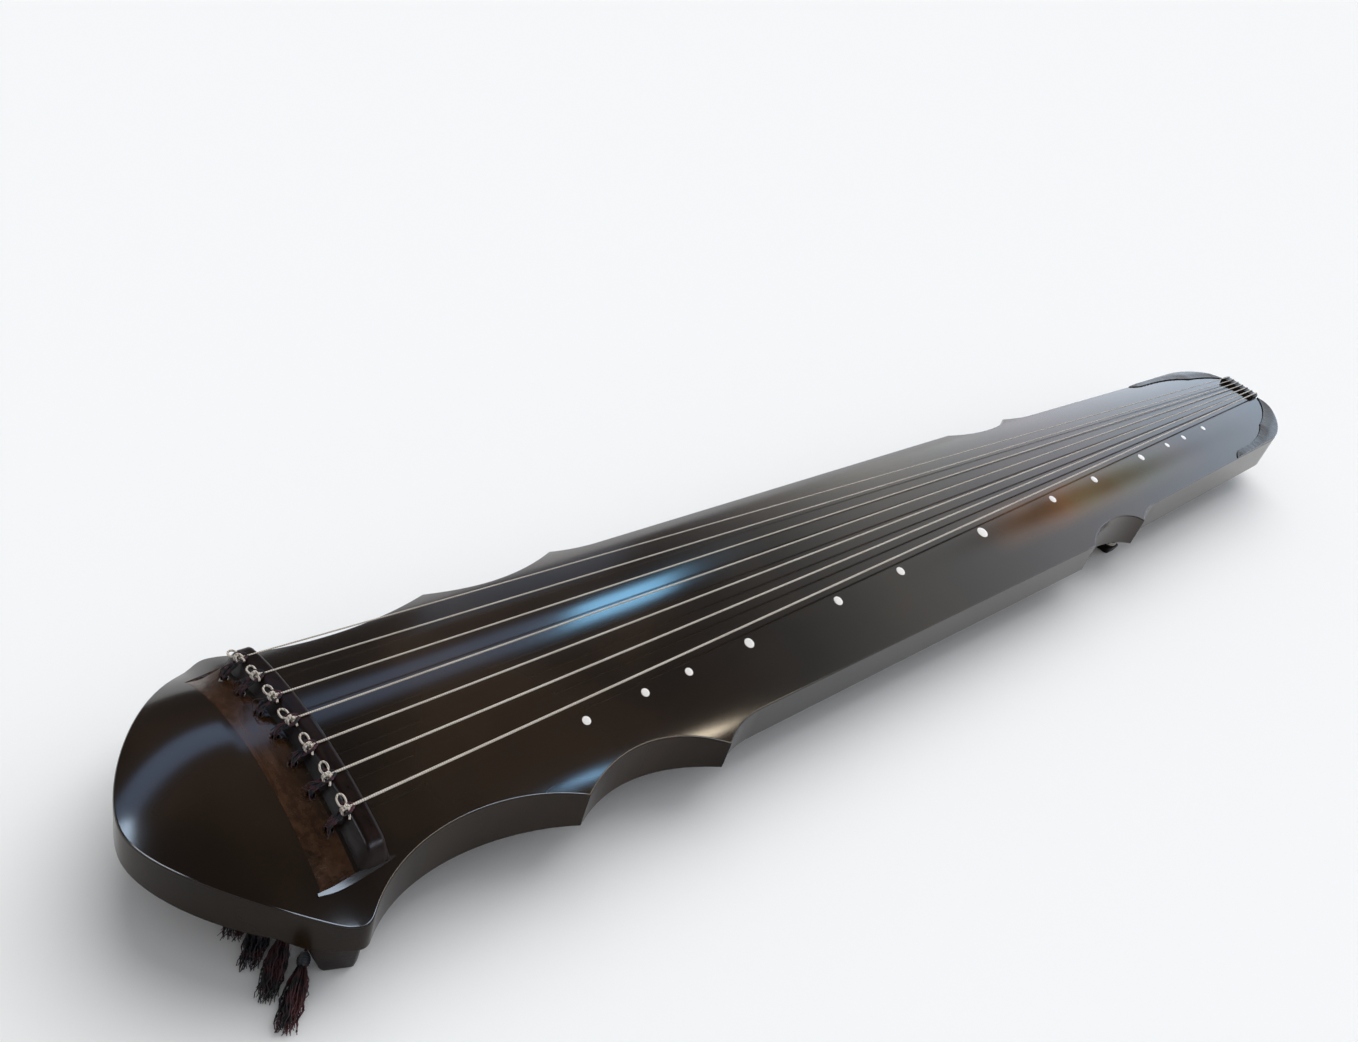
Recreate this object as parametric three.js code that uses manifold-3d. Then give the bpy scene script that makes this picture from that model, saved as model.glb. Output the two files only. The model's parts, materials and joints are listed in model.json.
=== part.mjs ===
// A seven-string zither (guqin): round head, two linked bays at the neck and one bay at the waist.
// Millimetres, +Z up, the floor at z = 0. X runs from the head to the tail and Y across the body, with
// the inlaid markers and the first, thickest string on the -Y side and the player on the +Y side.
// Everything is drawn from the bridge line (x = 0) and then centred over its own box.

import * as THREE from 'three';
import { mergeVertices } from 'three/addons/utils/BufferGeometryUtils.js';
import Module from 'manifold-3d';

const wasm = await Module();
wasm.setup();

// Strings
const stringCount = 7;
const vibratingLength = 1140;
const stringPitchAtBridge = 20;
const stringPitchAtNut = 6;
const stringOffset = 5.6;
const thickestString = 1.5;
const thinnestString = 0.9;
const stringSides = 6;
const stringBendRadius = 3;
const bendSteps = 4;

// Clearances
const seatGap = 0.3;
const overrun = 6;

// Body shell
const headLength = 103.5;
const tailLength = 14;
const thicknessAtBridge = 52.3;
const thicknessAtTail = 46.8;
const archRadius = 187;
const headArchRadius = 156;
const archEaseStart = 12;
const archEaseEnd = 34;
const headFall = 22;
const headRise = 6;
const headRiseStart = 46;
const headRiseEnd = 58;
const standHeight = 30;
const bottomThickness = 10;
const sideWall = 14;
const topWall = 10;
const headBlockLength = 75;
const tailBlockLength = 67;

// Outline: half widths, and where each bay starts and ends from the bridge line
const headCornerHalf = 101;
const headCornerSetback = 21.3;
const neckHalf = 75.3;
const firstCuspHalf = 92.2;
const throatHalf = 80.2;
const shoulderHalf = 100;
const chestHalf = 89.8;
const waistStartHalf = 87.4;
const waistHalf = 73.4;
const waistEndHalf = 85.7;
const flankHalf = 75.9;
const tailHalf = 67.5;
const tailEndHalf = 22;
const tailCornerLength = 57;
const headCornerEase = 7;
const firstCuspShare = 0.107;
const secondCuspShare = 0.203;
const waistStartShare = 0.61;
const waistEndShare = 0.69;
const cuspReleaseLength = 36;
const headCurveShares = { noseWidth: 0.298, cheekLength: 0.457, cheekWidth: 0.81 };
const neckPullShares = { first: 0.203, last: 0.349 };
const throatPullShares = { first: 0.271, last: 0.39 };
const waistPullShares = { first: 0.19, last: 0.23 };
const releasePullShare = 0.35;
const tailCornerPullShares = { along: 0.53, corner: 0.93, across: 0.47 };
const curveSteps = 9;
const archSteps = 20;
const headSteps = 6;
const easeSteps = 2;

// Head: plate, bridge and the pool for the pegs
const bridgeFront = 18.5;
const bridgeLean = 6;
const bridgeBack = 0;
const bridgeHalf = 80;
const bridgeHeight = 8.3;
const bridgeTopRadius = 238;
const bridgeEndLength = 7;
const bridgeEdge = 1.2;
const bridgeSeat = 3;
const headPlateLength = 20.5;
const headPlateInset = 1.5;
const headPlateDepth = 3.5;
const headPlateProud = 0.4;
const loopHoleSetback = 22.5;
const loopHoleDiameter = 4.4;
const poolLength = 36;
const poolHalf = 68.5;
const poolDepth = 14;
const poolPlateThickness = 3;
const holeSides = 12;

// Pegs
const pegHeadDiameter = 13.6;
const pegHeadHeight = 5;
const pegNeckDiameter = 8.4;
const pegBellyDiameter = 12.6;
const pegTipDiameter = 9.4;
const pegBoreDiameter = 3.8;
const pegDrop = 20;
const pegFluteShare = 0.91;
const pegSides = 12;

// Peg guards
const guardTop = { start: 46, end: 17, inset: 4, thickness: 8 };
const guardWaist = { start: 37, end: 18, inset: 7, thickness: 7 };
const guardSole = { start: 35, end: 20, inset: 8, thickness: 6 };
const guardCorner = 3;

// Goose feet
const footShare = 0.705;
const footInset = 13;
const footNeckDiameter = 15;
const footNeckHeight = 22.8;
const footBaseWidth = 20;
const footSoleWidth = 17;
const footBaseCorner = 4;
const footTenonDiameter = 13;
const footTenonLength = 8;
const footSides = 16;

// String ends wound on the goose feet
const turnsPerString = 2;
const stepsPerTurn = 16;
const turnGap = 0.5;
const neckClearance = 0.4;
const windingStart = 0.6;
const nearFootStrings = 4;

// Markers inlaid along the -Y side
const markerShares = [1 / 8, 1 / 6, 1 / 5, 1 / 4, 1 / 3, 2 / 5, 1 / 2, 3 / 5, 2 / 3, 3 / 4, 4 / 5, 5 / 6, 7 / 8];
const smallMarker = 5.8;
const middleMarker = 7.5;
const largeMarker = 10;
const markerThickness = 1.2;
const markerProud = 0.15;
const markerClearanceAtBridge = 5.9;
const markerClearanceAtNut = 9.2;
const markerSides = 16;

// Tail: nut, its support under the tail, and the two corner plates
const nutHalf = 20.5;
const nutHeight = 3.4;
const nutDepth = 8;
const nutRound = 3;
const supportLength = 18;
const supportHalf = 23;
const supportDrop = 5;
const supportSeat = 3;
const crownLength = 150;
const crownHeight = 3;
const crownCuspSetback = 51;
const crownCuspHalf = 47;
const crownShoulderSetback = 125;
const crownShoulderHalf = 63;
const crownScallopShare = 0.3;

// Sound holes in the bottom board, their rims, and the two posts inside
const poolHoleStartShare = 0.345;
const poolHoleLength = 210;
const pondHoleStartShare = 0.755;
const pondHoleLength = 108;
const soundHoleWidth = 24;
const soundHoleCorner = 8;
const rimWidth = 4;
const roundPostShare = 0.224;
const roundPostDiameter = 12;
const squarePostShare = 0.56;
const squarePostWidth = 12;

// Silk: loops from the knots to the pegs, and tassels under the pegs
const loopDiameter = 2.6;
const loopSides = 6;
const loopSteps = 12;
const tasselCordDiameter = 2;
const tasselCordRun = 26;
const tasselCordSides = 8;
const tasselCordSteps = 9;
const tasselKnotDiameter = 7;
const tasselNeckDiameter = 4.6;
const tasselKnotLength = 8;
const tasselSkirtLength = 38;
const tasselSkirtDiameter = 11;
const tasselSides = 8;
const tasselHeading = 230;
const tasselBendRadius = 4.5;
const roundPullShare = 0.5523;
const tasselSway = 1.5;

// Knots on the bridge
const knotSetback = 15;
const knotHeight = 4.4;
const knotWidth = 4.6;
const knotLength = 6.2;
const knotRingLength = 7.4;
const knotRingWidth = 5.4;
const knotStubLength = 4;
const knotHang = 2;

// Places worked out from the sizes above
const tailEnd = vibratingLength + tailLength;
const headTip = -headLength;
const bottomZ = standHeight;
const seamZ = bottomZ + bottomThickness;
const plateFront = -bridgeFront - headPlateLength;
const headPlateHalf = bridgeHalf - headPlateInset;
const loopX = -loopHoleSetback;
const poolCeiling = bottomZ + poolDepth;
const pegBottom = bottomZ - pegDrop;
const footX = footShare * vibratingLength;
const footY = waistHalf - footInset;
const stringGapAtTail = seatGap + thickestString;
const centreX = (headTip + tailEnd + stringGapAtTail) / 2;
const skyZ = bottomZ + thicknessAtBridge + bridgeHeight + overrun;

// Finishes
const lacquer = { color: 0x1d1613, roughness: 0.2, metalness: 0 };
const rosewood = { color: 0x2c1b16, roughness: 0.32, metalness: 0 };
const chestnut = { color: 0x4a2c1a, roughness: 0.3, metalness: 0 };
const shell = { color: 0xf3f1e8, roughness: 0.25, metalness: 0 };
const wire = { color: 0xd9d3c6, roughness: 0.4, metalness: 0 };
const silk = { color: 0x2a1014, roughness: 0.75, metalness: 0 };
const fir = { color: 0xb58f5c, roughness: 0.7, metalness: 0 };

const instrument = new THREE.Group();
instrument.position.x = -centreX;

function addPiece(name, geometry, finish) {
  const piece = new THREE.Mesh(geometry, new THREE.MeshStandardMaterial(finish));
  piece.name = name;
  instrument.add(piece);
}

// Solid work: three.js geometry in, booleans, three.js geometry out

function solidOf(geometry) {
  const bare = geometry.index ? geometry.toNonIndexed() : geometry.clone();
  bare.deleteAttribute('normal');
  bare.deleteAttribute('uv');
  const merged = mergeVertices(bare);
  const triVerts = Uint32Array.from(merged.index.array);
  const vertProperties = Float32Array.from(merged.attributes.position.array);
  return new wasm.Manifold(new wasm.Mesh({ numProp: 3, vertProperties, triVerts }));
}

function geometryOf(solid) {
  const mesh = solid.getMesh();
  const geometry = new THREE.BufferGeometry();
  geometry.setAttribute('position', new THREE.BufferAttribute(Float32Array.from(mesh.vertProperties), 3));
  geometry.setIndex(new THREE.BufferAttribute(Uint32Array.from(mesh.triVerts), 1));
  const flat = geometry.toNonIndexed();
  flat.computeVertexNormals();
  return flat;
}

// A flat outline in X and Y, raised from one height to another
function slab(points, bottom, top) {
  const shape = points instanceof THREE.Shape ? points : new THREE.Shape(points);
  const geometry = new THREE.ExtrudeGeometry(shape, {
    depth: top - bottom,
    bevelEnabled: false,
    steps: 1,
    curveSegments: curveSteps,
  });
  geometry.translate(0, 0, bottom);
  return solidOf(geometry);
}

function rectangle(x0, x1, y0, y1) {
  return [
    new THREE.Vector2(x0, y0),
    new THREE.Vector2(x1, y0),
    new THREE.Vector2(x1, y1),
    new THREE.Vector2(x0, y1),
  ];
}

function roundedRectangle(x0, x1, y0, y1, corner) {
  const shape = new THREE.Shape();
  shape.moveTo(x0 + corner, y0);
  shape.lineTo(x1 - corner, y0);
  shape.quadraticCurveTo(x1, y0, x1, y0 + corner);
  shape.lineTo(x1, y1 - corner);
  shape.quadraticCurveTo(x1, y1, x1 - corner, y1);
  shape.lineTo(x0 + corner, y1);
  shape.quadraticCurveTo(x0, y1, x0, y1 - corner);
  shape.lineTo(x0, y0 + corner);
  shape.quadraticCurveTo(x0, y0, x0 + corner, y0);
  return shape.getPoints(bendSteps).slice(0, -1);
}

// An upright round bar or cutter
function uprightBar(x, y, bottom, top, diameter, sides) {
  const geometry = new THREE.CylinderGeometry(diameter / 2, diameter / 2, top - bottom, sides);
  geometry.rotateX(Math.PI / 2);
  geometry.translate(x, y, (bottom + top) / 2);
  return solidOf(geometry);
}

// A profile drawn in X and Z, or in Y and Z, carried across the other axis
function profileAcross(points, from, to) {
  const geometry = new THREE.ExtrudeGeometry(new THREE.Shape(points), {
    depth: to - from,
    bevelEnabled: false,
    steps: 1,
  });
  geometry.rotateX(Math.PI / 2);
  geometry.translate(0, to, 0);
  return solidOf(geometry);
}

// Rings of a tube along chosen points, turned as little as possible from ring to ring, with flat ends
function tube(points, radii, sides) {
  const rings = points.length;
  const positions = [];
  const faces = [];
  const forward = (i) => {
    const before = points[Math.max(i - 1, 0)];
    const after = points[Math.min(i + 1, rings - 1)];
    return after.clone().sub(before).normalize();
  };
  let axis = forward(0);
  const helper = Math.abs(axis.z) < Math.SQRT1_2 ? new THREE.Vector3(0, 0, 1) : new THREE.Vector3(0, 1, 0);
  let side = new THREE.Vector3().crossVectors(helper, axis).normalize();
  for (let i = 0; i < rings; i += 1) {
    const turned = forward(i);
    side.applyQuaternion(new THREE.Quaternion().setFromUnitVectors(axis, turned)).normalize();
    axis = turned;
    const up = new THREE.Vector3().crossVectors(axis, side);
    for (let k = 0; k < sides; k += 1) {
      const angle = (2 * Math.PI * k) / sides;
      const spoke = side.clone().multiplyScalar(Math.cos(angle)).addScaledVector(up, Math.sin(angle));
      positions.push(...points[i].clone().addScaledVector(spoke, radii[i]).toArray());
    }
  }
  for (let i = 0; i < rings - 1; i += 1) {
    for (let k = 0; k < sides; k += 1) {
      const next = (k + 1) % sides;
      const a = i * sides + k;
      const b = i * sides + next;
      faces.push(a, b, b + sides, a, b + sides, a + sides);
    }
  }
  const last = (rings - 1) * sides;
  for (let k = 1; k < sides - 1; k += 1) {
    faces.push(0, k + 1, k);
    faces.push(last, last + k, last + k + 1);
  }
  const geometry = new THREE.BufferGeometry();
  geometry.setAttribute('position', new THREE.Float32BufferAttribute(positions, 3));
  geometry.setIndex(faces);
  return geometry;
}

function evenTube(points, diameter, sides) {
  return tube(points, points.map(() => diameter / 2), sides);
}

// A cord of one diameter along a curve
function cordAlong(curve, diameter, sides, steps) {
  const section = new THREE.Shape(Array.from({ length: sides }, (_, k) => {
    const angle = (2 * Math.PI * (k + 1 / 2)) / sides;
    return new THREE.Vector2(Math.cos(angle), Math.sin(angle)).multiplyScalar(diameter / 2);
  }));
  return new THREE.ExtrudeGeometry(section, { steps, bevelEnabled: false, extrudePath: curve });
}

// A quarter bend or less between two straight runs, as points on a circle
function bend(before, corner, after, radius) {
  const back = before.clone().sub(corner).normalize();
  const on = after.clone().sub(corner).normalize();
  const half = back.angleTo(on) / 2;
  const reach = radius / Math.tan(half);
  const centre = corner.clone().addScaledVector(back.clone().add(on).normalize(), radius / Math.sin(half));
  const start = corner.clone().addScaledVector(back, reach).sub(centre);
  const end = corner.clone().addScaledVector(on, reach).sub(centre);
  const turn = new THREE.Vector3().crossVectors(start, end).normalize();
  const sweep = start.angleTo(end);
  return Array.from({ length: bendSteps + 1 }, (_, i) => (
    start.clone().applyAxisAngle(turn, (sweep * i) / bendSteps).add(centre)));
}

// Body outline

function bay(from, to, narrowest, pull) {
  const depth = (8 * narrowest - from.y - to.y) / 6;
  const span = to.x - from.x;
  return [from.x + pull.first * span, depth, to.x - pull.last * span, depth, to.x, to.y];
}

function sideOutline() {
  const corner = { x: -headCornerSetback, y: headCornerHalf };
  const firstCusp = { x: firstCuspShare * vibratingLength, y: firstCuspHalf };
  const secondCusp = { x: secondCuspShare * vibratingLength, y: shoulderHalf };
  const waistStart = { x: waistStartShare * vibratingLength, y: waistStartHalf };
  const waistEnd = { x: waistEndShare * vibratingLength, y: waistEndHalf };
  const tailCorner = tailEnd - tailCornerLength;
  const cheekX = headTip + headCurveShares.cheekLength * (corner.x - headTip);
  const path = new THREE.Path();
  path.moveTo(headTip, 0);
  path.bezierCurveTo(
    headTip, headCurveShares.noseWidth * corner.y,
    cheekX, headCurveShares.cheekWidth * corner.y,
    corner.x, corner.y,
  );
  path.bezierCurveTo(...bay(corner, firstCusp, neckHalf, neckPullShares));
  path.bezierCurveTo(...bay(firstCusp, secondCusp, throatHalf, throatPullShares));
  path.quadraticCurveTo(
    secondCusp.x + releasePullShare * cuspReleaseLength, chestHalf,
    secondCusp.x + cuspReleaseLength, chestHalf,
  );
  path.lineTo(waistStart.x, waistStart.y);
  path.bezierCurveTo(...bay(waistStart, waistEnd, waistHalf, waistPullShares));
  path.quadraticCurveTo(
    waistEnd.x + releasePullShare * cuspReleaseLength, flankHalf,
    waistEnd.x + cuspReleaseLength, flankHalf,
  );
  path.lineTo(tailCorner, tailHalf);
  path.bezierCurveTo(
    tailCorner + tailCornerPullShares.along * tailCornerLength, tailHalf,
    tailCorner + tailCornerPullShares.corner * tailCornerLength,
    tailEndHalf + tailCornerPullShares.across * (tailHalf - tailEndHalf),
    tailEnd, tailEndHalf,
  );
  return easedCorner(path.getPoints(curveSteps), curveSteps, headCornerEase);
}

// One corner of a line of points, rounded off over a length on both sides
function easedCorner(points, index, ease) {
  const corner = points[index];
  const toward = (other) => corner.clone().lerp(other, ease / corner.distanceTo(other));
  const curve = new THREE.QuadraticBezierCurve(toward(points[index - 1]), corner, toward(points[index + 1]));
  return [...points.slice(0, index), ...curve.getPoints(bendSteps), ...points.slice(index + 1)];
}

// Half the width of the body at a place along it
function edgeHalf(x) {
  const side = sideOutline();
  const next = side.findIndex((point) => point.x > x);
  const [before, after] = [side[next - 1], side[next]];
  return THREE.MathUtils.mapLinear(x, before.x, after.x, before.y, after.y);
}

function closedOutline(side) {
  const other = side.slice(1).reverse().map((point) => new THREE.Vector2(point.x, -point.y));
  return [...side, ...other].reverse();
}

const outlinePoints = closedOutline(sideOutline());

// Arched top

function crestZ(x) {
  const slope = (thicknessAtTail - thicknessAtBridge) / tailEnd;
  const fallen = Math.max(plateFront - x, 0) / (plateFront - headTip);
  return bottomZ + thicknessAtBridge + slope * Math.max(x, plateFront) - headFall * fallen ** 2;
}

function archDrop(y, radius) {
  return radius - Math.sqrt(radius ** 2 - y ** 2);
}

// The arch is rounder over the head than over the strings
function archRadiusAt(x) {
  const share = THREE.MathUtils.clamp((-archEaseStart - x) / (archEaseEnd - archEaseStart), 0, 1);
  return archRadius + (headArchRadius - archRadius) * share;
}

function surfaceZ(x, y) {
  return crestZ(x) - archDrop(y, archRadiusAt(x));
}

function evenSteps(from, to, steps) {
  return Array.from({ length: steps + 1 }, (_, i) => from + ((to - from) * i) / steps);
}

// Everything below the arched top, lifted or sunk by an amount
function belowSurface(lift) {
  const half = headCornerHalf + overrun;
  const stations = [
    ...evenSteps(headTip - overrun, -archEaseEnd, headSteps),
    ...evenSteps(-archEaseEnd, -archEaseStart, easeSteps).slice(1),
    tailEnd + overrun,
  ];
  const steps = stations.length - 1;
  const geometry = new THREE.BoxGeometry(1, 1, 1, steps, archSteps, 1);
  const places = geometry.attributes.position;
  for (let i = 0; i < places.count; i += 1) {
    const x = stations[Math.round((places.getX(i) + 0.5) * steps)];
    const y = 2 * half * places.getY(i);
    const z = places.getZ(i) > 0 ? surfaceZ(x, y) + lift : 0;
    places.setXYZ(i, x, y, z);
  }
  return solidOf(geometry);
}

// String places

function stringDiameter(index) {
  return thickestString + ((thinnestString - thickestString) * index) / (stringCount - 1);
}

function stringPlace(index, pitch) {
  return stringOffset + (index - (stringCount - 1) / 2) * pitch;
}

function bridgeTopZ(y) {
  return crestZ(0) + bridgeHeight - archDrop(y, bridgeTopRadius);
}

const stringIndexes = Array.from({ length: stringCount }, (_, i) => i);

function loopHoles(bottom, top) {
  return stringIndexes.map((index) => (
    uprightBar(loopX, stringPlace(index, stringPitchAtBridge), bottom, top, loopHoleDiameter, holeSides)));
}

// Boards

function poolOutline(gap) {
  const middle = loopX;
  return rectangle(
    middle - poolLength / 2 - gap, middle + poolLength / 2 + gap,
    stringOffset - poolHalf - gap, stringOffset + poolHalf + gap,
  );
}

function cavity() {
  const neck = neckHalf - sideWall;
  const chest = chestHalf - sideWall;
  const waist = waistHalf - sideWall;
  const tail = tailHalf - sideWall;
  const cuspX = secondCuspShare * vibratingLength;
  const waistX = waistStartShare * vibratingLength;
  const flankX = waistEndShare * vibratingLength;
  const side = [
    new THREE.Vector2(headBlockLength, neck),
    new THREE.Vector2(cuspX, neck),
    new THREE.Vector2(cuspX + cuspReleaseLength, chest),
    new THREE.Vector2(waistX - cuspReleaseLength, chest),
    new THREE.Vector2(waistX, waist),
    new THREE.Vector2(flankX, waist),
    new THREE.Vector2(tailEnd - tailBlockLength, tail),
  ];
  const other = side.map((point) => new THREE.Vector2(point.x, -point.y)).reverse();
  return slab([...side, ...other].reverse(), seamZ - overrun, skyZ).intersect(belowSurface(-topWall));
}

function headPlateOutline(gap) {
  return rectangle(plateFront - gap, -bridgeFront, -headPlateHalf - gap, headPlateHalf + gap);
}

function markerFrames() {
  return markerShares.map((share, index) => {
    const middle = (markerShares.length - 1) / 2;
    const fromMiddle = Math.abs(index - middle);
    const outer = fromMiddle > middle / 2 ? smallMarker : middleMarker;
    const diameter = fromMiddle === 0 ? largeMarker : outer;
    const x = share * vibratingLength;
    const pitch = stringPitchAtBridge + (stringPitchAtNut - stringPitchAtBridge) * share;
    const clearance = markerClearanceAtBridge + (markerClearanceAtNut - markerClearanceAtBridge) * share;
    const y = stringPlace(0, pitch) - clearance;
    return { x, y, diameter, tilt: Math.asin(-y / archRadius) };
  });
}

function markerDisc(frame, diameter, below, above) {
  const geometry = new THREE.CylinderGeometry(diameter / 2, diameter / 2, below + above, markerSides);
  geometry.rotateX(Math.PI / 2);
  geometry.translate(0, 0, (above - below) / 2);
  geometry.rotateX(frame.tilt);
  geometry.translate(frame.x, frame.y, surfaceZ(frame.x, frame.y));
  return solidOf(geometry);
}

function topBoard() {
  let board = slab(outlinePoints, seamZ + seatGap, skyZ).intersect(belowSurface(0));
  board = board.subtract(cavity());
  board = board.subtract(slab(poolOutline(0), 0, poolCeiling + poolPlateThickness + seatGap));
  const plateSeat = slab(headPlateOutline(seatGap), seamZ, skyZ);
  board = board.subtract(plateSeat.subtract(belowSurface(-headPlateDepth - seatGap)));
  const bridgeOutline = rectangle(-bridgeFront, bridgeBack + seatGap, -bridgeHalf - seatGap, bridgeHalf + seatGap);
  board = board.subtract(slab(bridgeOutline, seamZ, skyZ).subtract(belowSurface(-bridgeSeat - seatGap)));
  const nutBed = crestZ(vibratingLength) - nutDepth - seatGap;
  const nutOutline = rectangle(vibratingLength - seatGap, tailEnd + overrun,
    stringOffset - nutHalf - seatGap, stringOffset + nutHalf + seatGap);
  board = board.subtract(slab(nutOutline, nutBed, skyZ));
  loopHoles(seamZ, skyZ).forEach((hole) => {
    board = board.subtract(hole);
  });
  markerFrames().forEach((frame) => {
    board = board.subtract(markerDisc(frame, frame.diameter + 2 * seatGap, markerThickness + seatGap, overrun));
  });
  return board;
}

function soundHole(startShare, length, grow) {
  const start = startShare * vibratingLength;
  const half = soundHoleWidth / 2 + grow;
  return roundedRectangle(start - grow, start + length + grow, -half, half, soundHoleCorner + grow);
}

const soundHoles = [
  { name: 'dragon_pool_rim', start: poolHoleStartShare, length: poolHoleLength },
  { name: 'phoenix_pond_rim', start: pondHoleStartShare, length: pondHoleLength },
];

function bottomBoard() {
  let board = slab(outlinePoints, bottomZ, seamZ);
  board = board.subtract(slab(poolOutline(0), 0, skyZ));
  soundHoles.forEach((hole) => {
    board = board.subtract(slab(soundHole(hole.start, hole.length, rimWidth + seatGap), 0, skyZ));
  });
  [-footY, footY].forEach((y) => {
    const socket = bottomZ + footTenonLength + seatGap;
    board = board.subtract(uprightBar(footX, y, 0, socket, footTenonDiameter + 2 * seatGap, footSides));
  });
  const supportOutline = rectangle(tailEnd - supportLength - seatGap, tailEnd + overrun,
    stringOffset - supportHalf - seatGap, stringOffset + supportHalf + seatGap);
  board = board.subtract(slab(supportOutline, 0, bottomZ + supportSeat + seatGap));
  const rise = [
    new THREE.Vector2(-headRiseStart, bottomZ - overrun),
    new THREE.Vector2(-headRiseStart, bottomZ),
    new THREE.Vector2(-headRiseEnd, bottomZ + headRise),
    new THREE.Vector2(headTip - overrun, bottomZ + headRise),
    new THREE.Vector2(headTip - overrun, bottomZ - overrun),
  ];
  return board.subtract(profileAcross(rise, -headCornerHalf - overrun, headCornerHalf + overrun));
}

addPiece('top_board', geometryOf(topBoard()), lacquer);
addPiece('bottom_board', geometryOf(bottomBoard()), lacquer);

soundHoles.forEach((hole) => {
  const outer = slab(soundHole(hole.start, hole.length, rimWidth), bottomZ, seamZ);
  addPiece(hole.name, geometryOf(outer.subtract(slab(soundHole(hole.start, hole.length, 0), 0, skyZ))), rosewood);
});

// Posts between the boards

const roundPostX = roundPostShare * vibratingLength;
const squarePostX = squarePostShare * vibratingLength;
const postBottom = seamZ + seatGap;

function postTop(x, half) {
  return surfaceZ(x, half) - topWall - seatGap;
}

addPiece('round_sound_post', geometryOf(uprightBar(
  roundPostX, 0, postBottom, postTop(roundPostX, roundPostDiameter / 2), roundPostDiameter, footSides,
)), fir);

addPiece('square_sound_post', geometryOf(slab(
  rectangle(squarePostX - squarePostWidth / 2, squarePostX + squarePostWidth / 2,
    -squarePostWidth / 2, squarePostWidth / 2),
  postBottom, postTop(squarePostX, squarePostWidth / 2),
)), fir);

// Head plate and bridge

function headPlate() {
  const outline = rectangle(plateFront, -bridgeFront - seatGap, -headPlateHalf, headPlateHalf);
  let plate = slab(outline, seamZ, skyZ).intersect(belowSurface(headPlateProud));
  plate = plate.subtract(belowSurface(-headPlateDepth));
  loopHoles(seamZ, skyZ).forEach((hole) => {
    plate = plate.subtract(hole);
  });
  return plate;
}

// The bridge leans back from its foot to its top, and its ends are rounded
function bridge() {
  const topFront = -bridgeFront + bridgeLean;
  const levels = [
    { front: -bridgeFront, back: bridgeBack, share: 0, lift: 0 },
    { front: topFront, back: bridgeBack, share: 1, lift: -bridgeEdge },
    { front: topFront + bridgeEdge, back: bridgeBack - bridgeEdge, share: 1, lift: 0 },
  ];
  const geometry = new THREE.BoxGeometry(1, 1, 1, 1, 2 * archSteps, levels.length);
  const places = geometry.attributes.position;
  const crown = bridgeHalf - bridgeEndLength;
  for (let i = 0; i < places.count; i += 1) {
    const y = 2 * bridgeHalf * places.getY(i);
    const past = Math.max(Math.abs(y) - crown, 0) / bridgeEndLength;
    const round = Math.sqrt(1 - past ** 2);
    const step = Math.round((places.getZ(i) + 0.5) * levels.length);
    const level = levels[Math.max(step - 1, 0)];
    const x = places.getX(i) > 0 ? level.back : level.front;
    const foot = surfaceZ(x, y);
    const height = level.share * (bridgeTopZ(y) - foot + level.lift) * round;
    places.setXYZ(i, x, y, step > 0 ? foot + height : seamZ);
  }
  return solidOf(geometry).subtract(belowSurface(-bridgeSeat));
}

addPiece('head_plate', geometryOf(headPlate()), chestnut);
addPiece('bridge', geometryOf(bridge()), rosewood);

// Markers

markerFrames().forEach((frame, index) => {
  const disc = markerDisc(frame, frame.diameter, markerThickness, markerProud);
  addPiece(`marker_${index + 1}`, geometryOf(disc), shell);
});

// Peg pool plate, pegs and peg guards

function poolPlate() {
  const outline = rectangle(
    loopX - poolLength / 2 + seatGap, loopX + poolLength / 2 - seatGap,
    stringOffset - poolHalf + seatGap, stringOffset + poolHalf - seatGap,
  );
  let plate = slab(outline, poolCeiling, poolCeiling + poolPlateThickness);
  loopHoles(0, skyZ).forEach((hole) => {
    plate = plate.subtract(hole);
  });
  return plate;
}

addPiece('peg_pool_plate', geometryOf(poolPlate()), rosewood);

function tuningPeg(x, y) {
  const top = poolCeiling - seatGap;
  const length = top - pegBottom;
  const under = top - pegHeadHeight;
  const bellyZ = under - (under - pegBottom) / 2;
  const profile = [
    [pegBoreDiameter, top],
    [pegBoreDiameter, pegBottom],
    [pegTipDiameter, pegBottom],
    [pegBellyDiameter, bellyZ],
    [pegNeckDiameter, under - pegHeadHeight / 2],
    [pegNeckDiameter, under],
    [pegHeadDiameter, under],
    [pegHeadDiameter, top],
    [pegBoreDiameter, top],
  ].map(([diameter, z]) => new THREE.Vector2(diameter / 2, z));
  const geometry = new THREE.LatheGeometry(profile, pegSides);
  geometry.rotateX(Math.PI / 2);
  const places = geometry.attributes.position;
  for (let i = 0; i < places.count; i += 1) {
    const spoke = Math.floor(i / profile.length) % 2;
    const fluted = places.getZ(i) < under - length / 4 && spoke === 1;
    const wide = Math.hypot(places.getX(i), places.getY(i)) > pegBoreDiameter;
    const share = fluted && wide ? pegFluteShare : 1;
    places.setXY(i, places.getX(i) * share, places.getY(i) * share);
  }
  geometry.translate(x, y, 0);
  return geometryOf(solidOf(geometry));
}

stringIndexes.forEach((index) => {
  addPiece(`tuning_peg_${index + 1}`, tuningPeg(loopX, stringPlace(index, stringPitchAtBridge)), rosewood);
});

// Corners of a guard at one height, on the outer and the inner side, following the edge of the body
function guardRing(side, { start, end, inset, thickness }, z) {
  return [-start, -headCornerSetback, -end].flatMap((x) => (
    [inset, inset + thickness].map((depth) => [x, side * (edgeHalf(x) - depth), z])));
}

function pegGuard(side) {
  return wasm.Manifold.hull([
    ...guardRing(side, guardTop, bottomZ - seatGap),
    ...guardRing(side, guardWaist, guardCorner),
    ...guardRing(side, guardSole, 0),
  ]);
}

addPiece('peg_guard_near', geometryOf(pegGuard(-1)), rosewood);
addPiece('peg_guard_far', geometryOf(pegGuard(1)), rosewood);

// Goose feet

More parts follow.
